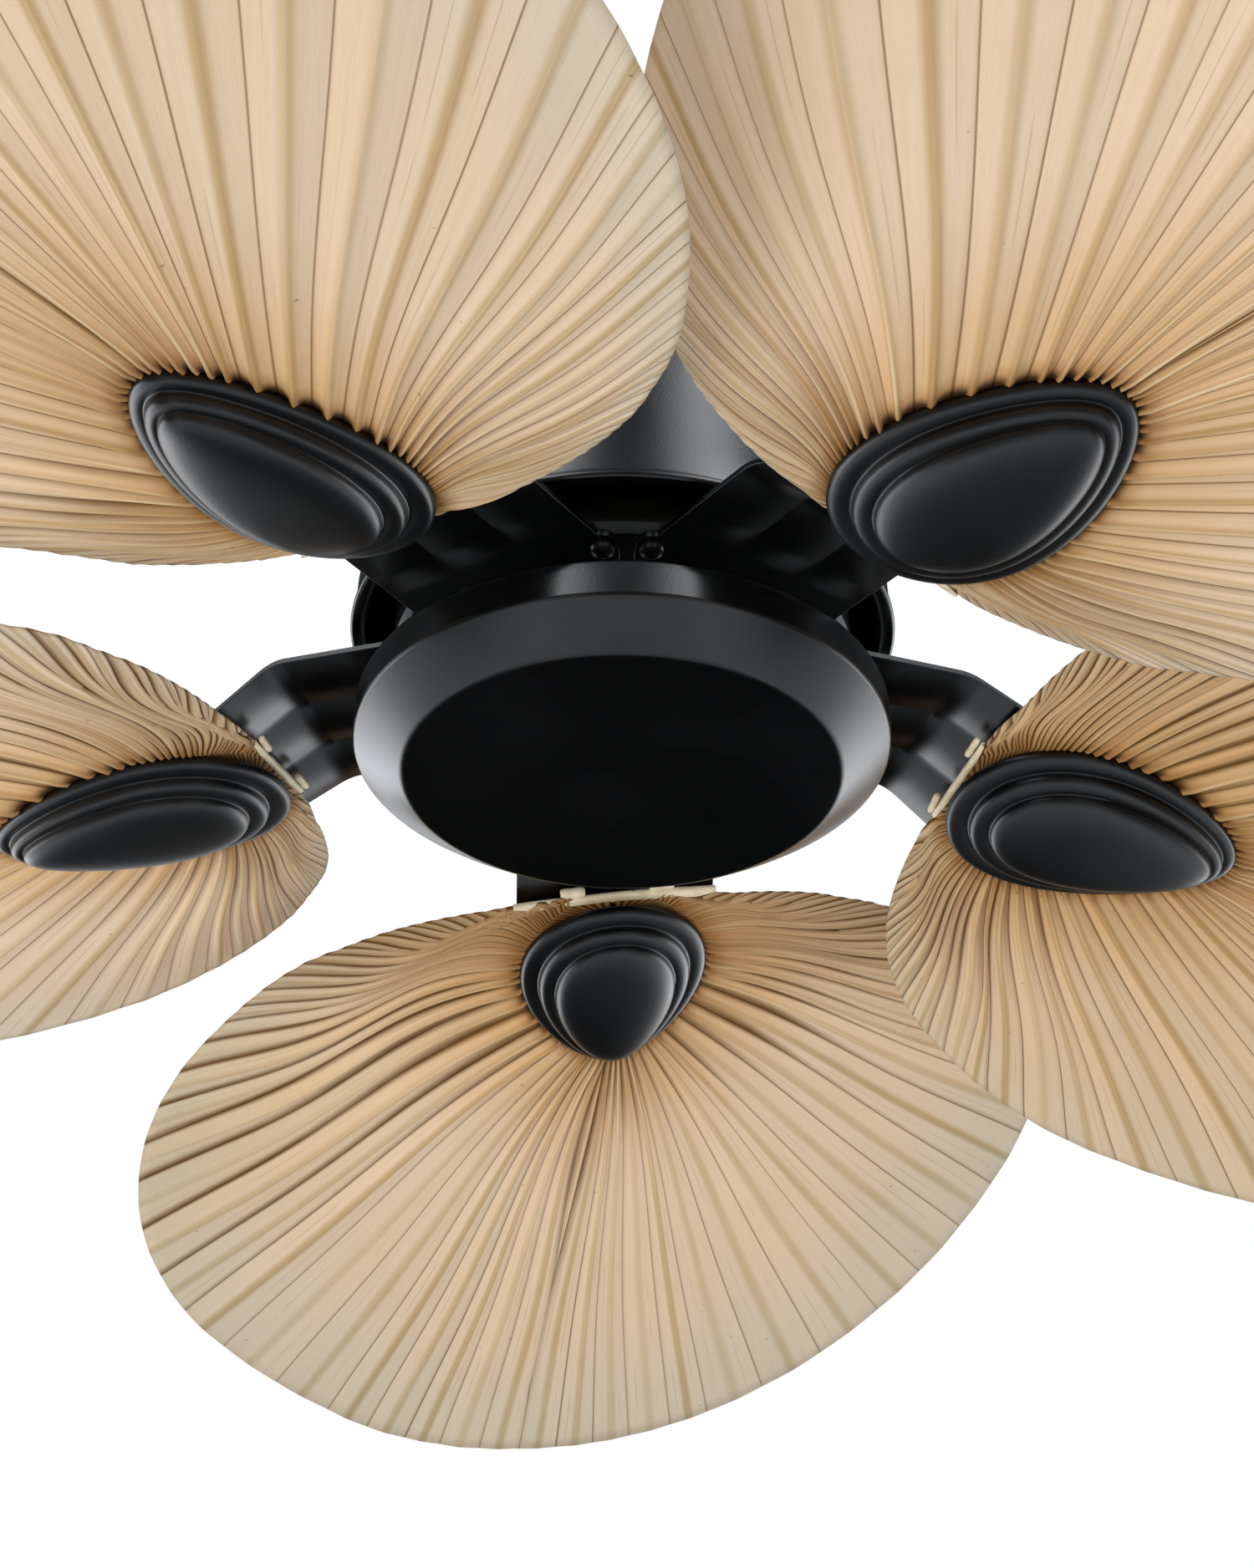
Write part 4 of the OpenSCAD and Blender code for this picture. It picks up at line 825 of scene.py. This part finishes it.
def bracket_seat(base):
    """The flat seat under the motor, half a ring with two rounded ears; base is its first point."""
    half = [(PLATE_END - 13, -BRACKET_W / 2),
            (math.sqrt(SEAT_OUT ** 2 - (BRACKET_W / 2) ** 2), -BRACKET_W / 2)]
    corner = math.asin(BRACKET_W / 2 / SEAT_OUT)
    for i in range(1, 5):
        a = -(corner + (EAR - corner) * i / 4)
        half.append((SEAT_OUT * math.cos(a), SEAT_OUT * math.sin(a)))
    for middle, first in ((SEAT_OUT - EAR_SOFT, 0), (SEAT_IN + EAR_SOFT, 90)):
        for x, y in arc(middle, 0.0, EAR_SOFT, -first, -first - 90, 8):
            half.append((x * math.cos(EAR) + y * math.sin(EAR), y * math.cos(EAR) - x * math.sin(EAR)))
    inner = []
    for i in range(1, 16):
        a = -EAR + 2 * EAR * i / 16
        inner.append((SEAT_IN * math.cos(a), SEAT_IN * math.sin(a)))
    outline = half + inner + [(x, -y) for x, y in reversed(half)]
    n = len(outline)
    z = MOTOR_Z - BRACKET_T
    verts = [(x, y, z + SEAT_INSET) for x, y in outline]
    verts += [(x, y, z + BRACKET_T - SEAT_INSET) for x, y in outline]
    faces = [tuple(base + i for i in reversed(range(n))), tuple(base + n + i for i in range(n))]
    for i in range(n):
        j = (i + 1) % n
        faces.append((base + i, base + j, base + n + j, base + n + i))
    return verts, faces


def bracket(k):
    """A bracket of pressed sheet: the fluted arm and its flat seat."""
    verts, faces = bracket_arm()
    seat_verts, seat_faces = bracket_seat(len(verts))
    ob = make(f"bracket_{k + 1}", verts + seat_verts, faces + seat_faces, black,
              upright_matrix(k))
    crease(ob, 22)
    bevel(ob)
    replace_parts(ob, f"blade_bracket_{k + 1}")


# ---------------------------------------------------------------- root bindings
def tube(points, radii, sides):
    """A closed tube round a line of points that runs across the leaf, as verts and faces."""
    points = [Vector(p) for p in points]
    verts, faces = [], []
    for i, p in enumerate(points):
        ahead = (points[min(i + 1, len(points) - 1)] - points[max(i - 1, 0)]).normalized()
        side = ahead.cross(Vector((0, 0, 1)))
        side.normalize()
        lift = side.cross(ahead).normalized()
        for j in range(sides):
            a = 2 * math.pi * j / sides
            verts.append(tuple(p + side * radii[i] * math.cos(a) + lift * radii[i] * math.sin(a)))
    for i in range(len(points) - 1):
        for j in range(sides):
            a, b = i * sides + j, i * sides + (j + 1) % sides
            faces.append((a, b, b + sides, a + sides))
    faces.append(tuple(reversed(range(sides))))
    faces.append(tuple(len(verts) - sides + j for j in range(sides)))
    return verts, faces


# where each leaf's cane ends and where its two knots sit, across the root
CANE_ENDS = [(-50, 48), (-27, 26), (-46, 20), (-20, 46), (-26, 26)]
KNOTS = [(-24, 19), (-22, 20), (-24, 12), (-12, 22), (-21, 20)]
# how far each cane reaches over the leaf
CANE_W = (3.4, 1.6, 3.2, 3.2, 1.6)
CANE_ROWS = 61
# a knot in section: distance from its middle along the root, and radius
KNOT = [(-6.0, 1.5), (-5.7, 2.2), (-4.6, 2.65), (-2.8, 2.75), (0, 2.55), (2.8, 2.75), (4.6, 2.65),
        (5.7, 2.2), (6.0, 1.5)]


def bent(x, y, z):
    """From the bent root's own flat, with z off the leaf's underside, to the leaf's frame."""
    c, s = math.cos(ROOT_BEND), math.sin(ROOT_BEND)
    return (ROOT_LINE + x * c + z * s, y, LEAF_UNDER - x * s + z * c)


def binding(k):
    """A split cane folded over the root edge, with two rolled knots."""
    rng = np.random.default_rng(CANE_SEED + k)
    edge = -(ROOT_LINE - LEAF_ROOT) / math.cos(ROOT_BEND) - 0.4
    w = CANE_W[k]
    fat = 0.25 + 0.75 * w / CANE_W[0]
    low, top = -1.1, LEAF_T + 1.0
    # x lies over the leaf from the root's edge, and z above the leaf's underside
    section = [(w, low + 0.2), (w * 0.6, low), (0.5, low), (-0.5, low + 0.3), (-1.2, low + 1.2),
               (-1.2, top - 1.2), (-0.5, top - 0.3), (0.5, top), (w * 0.6, top), (w, top - 0.1),
               (w, LEAF_T + 0.05), (0.2, LEAF_T + 0.05), (0.2, -0.05), (w, -0.05)]
    first, last = CANE_ENDS[k]
    verts, faces = [], []
    for i in range(CANE_ROWS):
        y = first + (last - first) * i / (CANE_ROWS - 1)
        bend = 0.30 * math.sin(y / 9.0 + k) + 0.15 * math.sin(y / 3.7 + 2 * k)
        narrow = min(1.0, 0.35 + min(y - first, last - y) / 14.0)
        for x, z in section:
            verts.append(bent(edge + x * (narrow if x > 0 else 1) + bend * (1 if x > 3 else 0.3), y,
                              root_arch(y) + (z if z > 0.8 else z * (0.4 + 0.6 * narrow))))
    n = len(section)
    for i in range(CANE_ROWS - 1):
        for j in range(n):
            a, b = i * n + j, i * n + (j + 1) % n
            faces.append((a, b, b + n, a + n))
    faces.append(tuple(reversed(range(n))))
    faces.append(tuple(len(verts) - n + j for j in range(n)))
    for y in KNOTS[k]:
        tilt = rng.uniform(-0.16, 0.16)
        points = [bent(edge - 3.0 + tilt * d, y + d, LEAF_T + 0.2 + root_arch(y) + 0.1 * tilt * d)
                  for d, _ in KNOT]
        knot_verts, knot_faces = tube(points, [r * fat for _, r in KNOT], 16)
        faces += [tuple(a + len(verts) for a in face) for face in knot_faces]
        verts += knot_verts
    ob = make(f"cane_binding_{k + 1}", verts, faces, cane_mat, blade_matrix(k))
    crease(ob, 40)
    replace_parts(ob, f"root_binding_{k + 1}")


for blade in range(BLADES):
    leaf(blade)
    medallion(blade)
    bracket(blade)
    binding(blade)


# ---------------------------------------------------------------- pan and housing
# a box whose points run over x, then y, then z
BOX = ((0, 1, 3, 2), (4, 6, 7, 5), (0, 4, 5, 1), (2, 3, 7, 6), (0, 2, 6, 4), (1, 5, 7, 3))
# the three lugs of the pan that hook over the mount plate
LUG_X = (100.2, 113.6)
LUG_Y = (-7, 7)
LUG_Z = (-305.95, -304.05)


def lathe(name, profile, steps=240):
    """Turned black sheet from a closed (r, z) outline in mm; points on the axis are shared."""
    verts, rows = [], []
    for r, z in profile:
        if r < 1e-6:
            rows.append([len(verts)] * steps)
            verts.append((0, 0, z))
        else:
            rows.append(list(range(len(verts), len(verts) + steps)))
            for i in range(steps):
                a = 2 * math.pi * i / steps
                verts.append((r * math.cos(a), r * math.sin(a), z))
    faces = []
    for a, b in zip(rows, rows[1:] + rows[:1]):
        for i in range(steps):
            j = (i + 1) % steps
            face = [a[i], a[j], b[j], b[i]]
            face = [v for n, v in enumerate(face) if v not in face[:n]]
            if len(face) > 2:
                faces.append(face)
    return make(name, verts, faces, black, body="hanging")


def pan():
    """The lower pan: a flat bottom, a cone, a rolled lip and an upright wall, with lugs inside."""
    outer = [(0, -14.0), (60, -14.0), (88, -14.0)] + arc(91.8, -7.6, 6.4, -90, -60, 8)
    outer += [(101, -9.3), (108, -4.7)] + arc(112.6, 1.6, 2.4, -57, 6, 8)
    outer += [(PAN_R, 7.0), (PAN_R, 12.5), (114.6, 15.8), (113.5, 17.9), (111.5, 18.8)]
    inner = [(111.4, 17.6), (113.2, 14.0), (113.4, 6.0), (113.0, 2.0), (110.6, -1.6), (99.5, -8.4),
             (91.0, -12.2), (86, -12.6), (60, -12.6), (0, -12.6)]
    ob = lathe("hub_pan", [(r, LIP_Z + z) for r, z in outer + inner])
    verts, faces = [], []
    for i in range(3):
        turned = Matrix.Rotation(math.radians(30 + 120 * i), 3, "Z")
        faces += [tuple(len(verts) + corner for corner in face) for face in BOX]
        verts += [tuple(turned @ Vector((x, y, z))) for x in LUG_X for y in LUG_Y for z in LUG_Z]
    lugs = make("pan_lugs", verts, faces, black, smooth=False, body="hanging")
    bevel(lugs)
    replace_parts(ob, "lower_pan")


def housing():
    """The bell: a beaded rim, a leaning skirt and a round shoulder, open at the neck."""
    skirt, lean, shoulder_r, bead, wall, neck_r, neck_wall = 38.0, 4.0, 56.0, 1.8, 1.4, 12.0, 4.0

    def shoulder(inset, drop, n=28):
        out = []
        for i in range(n + 1):
            a = math.pi / 2 * i / n
            r = shoulder_r - inset + (HOUSING_R - lean - shoulder_r) * math.cos(a) ** 0.9
            out.append((r, skirt + (HOUSING_H - skirt - drop) * math.sin(a)))
        return out

    profile = arc(HOUSING_R - bead, bead, bead, -90, 60, 10)
    profile += [(HOUSING_R - 1.0 - lean * 0.15, 6.0), (HOUSING_R - lean * 0.55, 20.0)]
    profile += shoulder(0.0, 0.0) + [(neck_r, HOUSING_H), (neck_r, HOUSING_H - neck_wall)]
    profile += list(reversed(shoulder(wall, neck_wall))) + [(114.2, 20.0), (115.4, 6.0), (115.6, 3.0)]
    profile += [(112.6, 2.2), (112.6, 0.9), (115.4, 0.2)]
    return lathe("motor_housing", [(r, RIM_Z + z) for r, z in profile])


pan()
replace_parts(housing(), "upper_housing")

# ---------------------------------------------------------------- floor and light (m)
FLOOR_HALF, FLOOR_Z = 40, -3.6

floor_mesh = bpy.data.meshes.new("floor")
floor_corners = [(x * FLOOR_HALF, y * FLOOR_HALF, FLOOR_Z) for x, y in ((-1, -1), (1, -1), (1, 1), (-1, 1))]
floor_mesh.from_pydata(floor_corners, [], [(0, 1, 2, 3)])
floor = bpy.data.objects.new("floor", floor_mesh)
bpy.context.scene.collection.objects.link(floor)
pale = material("pale_floor")
pale.link(pale.mix(pale.noise(3.0, 3.0), (0.78, 0.77, 0.76), (0.82, 0.815, 0.81)),
          pale.shader.inputs["Base Color"])
pale.shader.inputs["Roughness"].default_value = 0.7
floor_mesh.materials.append(pale.owner)
floor.visible_glossy = False


def studio():
    """The world: plain white to the camera and to diffuse light. Reflections see a pale wall and
    two soft boxes behind, a dark middle in the dome ahead, black below the horizon and a grey
    floor underneath."""
    w = Nodes(bpy.data.worlds.new("studio"))
    bpy.context.scene.world = w.owner
    w.tree.nodes.clear()
    split = w.new("ShaderNodeSeparateXYZ")
    w.link(w.new("ShaderNodeTexCoord").outputs["Generated"], split.inputs[0])
    rx, ry, rz = split.outputs
    aside = w.math("ABSOLUTE", rx)
    behind = w.ramp(ry, -0.1, 0.25)
    ahead = w.math("SUBTRACT", 1.0, behind)
    wall = w.math("MULTIPLY", w.ramp(rz, -0.12, 0.12, 0.0, 1.3), w.ramp(rz, 0.25, 0.5, 1.0, 0.05))
    wall = w.math("MULTIPLY", wall, behind)
    box = w.math("MULTIPLY", w.ramp(rz, -0.60, -0.28, 1.0, 5.0), w.ramp(aside, 0.28, 0.48))
    tall = w.math("MULTIPLY", w.ramp(rz, -0.08, 0.22, 1.0, 0.0), w.ramp(rz, -0.97, -0.85))
    box = w.math("MULTIPLY", w.math("MULTIPLY", box, tall), behind)
    dome = w.math("MULTIPLY", w.ramp(aside, 0.10, 0.44, 0.16, 5.6), w.ramp(rz, 0.22, 0.48, 0.10, 1.0))
    dome = w.math("MULTIPLY", w.math("MULTIPLY", dome, ahead), w.ramp(aside, 0.48, 0.62, 1.0, 0.04))
    under = w.ramp(rz, -0.74, -0.96, 0.0, 0.85)
    front = w.math("MULTIPLY", w.ramp(ry, 0.05, -0.55, 0.0, 0.3), w.ramp(rz, -0.2, -0.5))
    gloss = under
    for part in (wall, box, dome, front):
        gloss = w.math("ADD", gloss, part)
    path = w.new("ShaderNodeLightPath").outputs
    plain = w.math("ADD", path["Is Camera Ray"], path["Is Diffuse Ray"])
    back = w.new("ShaderNodeBackground")
    w.link(w.mix(path["Is Glossy Ray"], (1.0, 1.0, 1.0), (0.93, 0.96, 1.0)), back.inputs[0])
    w.link(w.math("MULTIPLY_ADD", path["Is Glossy Ray"], gloss, plain), back.inputs[1])
    w.link(back.outputs[0], w.new("ShaderNodeOutputWorld").inputs[0])


def key_light():
    """A soft, slightly warm disc, low in front and to the left."""
    place, target = Vector((-1.6, -1.9, -2.1)), Vector((0, 0.1, -0.3))
    data = bpy.data.lights.new("key", "AREA")
    data.shape = "DISK"
    data.size = 1.6
    data.energy = 34
    data.color = (1.0, 0.985, 0.96)
    key = bpy.data.objects.new("key", data)
    bpy.context.scene.collection.objects.link(key)
    key.location = place
    key.rotation_euler = (target - place).to_track_quat("-Z", "Y").to_euler()
    key.visible_glossy = False


studio()
key_light()

# ---------------------------------------------------------------- camera
# solved from the circles of the pan and the medallions and from the leaves' outlines; the eye is
# in lip radii from the middle of the pan's lip
PHOTO_H = 1876.0
FOCAL_PX = 3292.3447542
SENSOR = 36.0
CAM_PITCH, CAM_ROLL, CAM_TURN = 0.5567934278, 0.0052830364, 0.0200761952
CAM_EYE = (0.0196601371, -8.6232402552, -5.5088767262)


def camera():
    """The camera of the photo."""
    forward = Vector((0, math.cos(CAM_PITCH), math.sin(CAM_PITCH)))
    up = Vector((0, -math.sin(CAM_PITCH), math.cos(CAM_PITCH)))
    right = Vector((1, 0, 0))
    rolled_right = math.cos(CAM_ROLL) * right + math.sin(CAM_ROLL) * up
    rolled_up = -math.sin(CAM_ROLL) * right + math.cos(CAM_ROLL) * up
    turn = Matrix.Rotation(-CAM_TURN, 3, "Z")
    eye = turn @ (Vector(CAM_EYE) * (PAN_R * MM))
    facing = Matrix((turn @ rolled_right, turn @ rolled_up, -(turn @ forward))).transposed()
    data = bpy.data.cameras.new("camera")
    data.sensor_width = SENSOR
    data.lens = FOCAL_PX * SENSOR / PHOTO_H
    data.clip_start = 0.01
    data.clip_end = 100.0
    cam = bpy.data.objects.new("camera", data)
    bpy.context.scene.collection.objects.link(cam)
    cam.matrix_world = Matrix.Translation((eye.x, eye.y, eye.z + LIP_Z * MM)) @ facing.to_4x4()
    bpy.context.scene.camera = cam


camera()

view = bpy.context.scene.view_settings
view.view_transform = "Standard"
view.look = "None"
view.exposure = 0.0
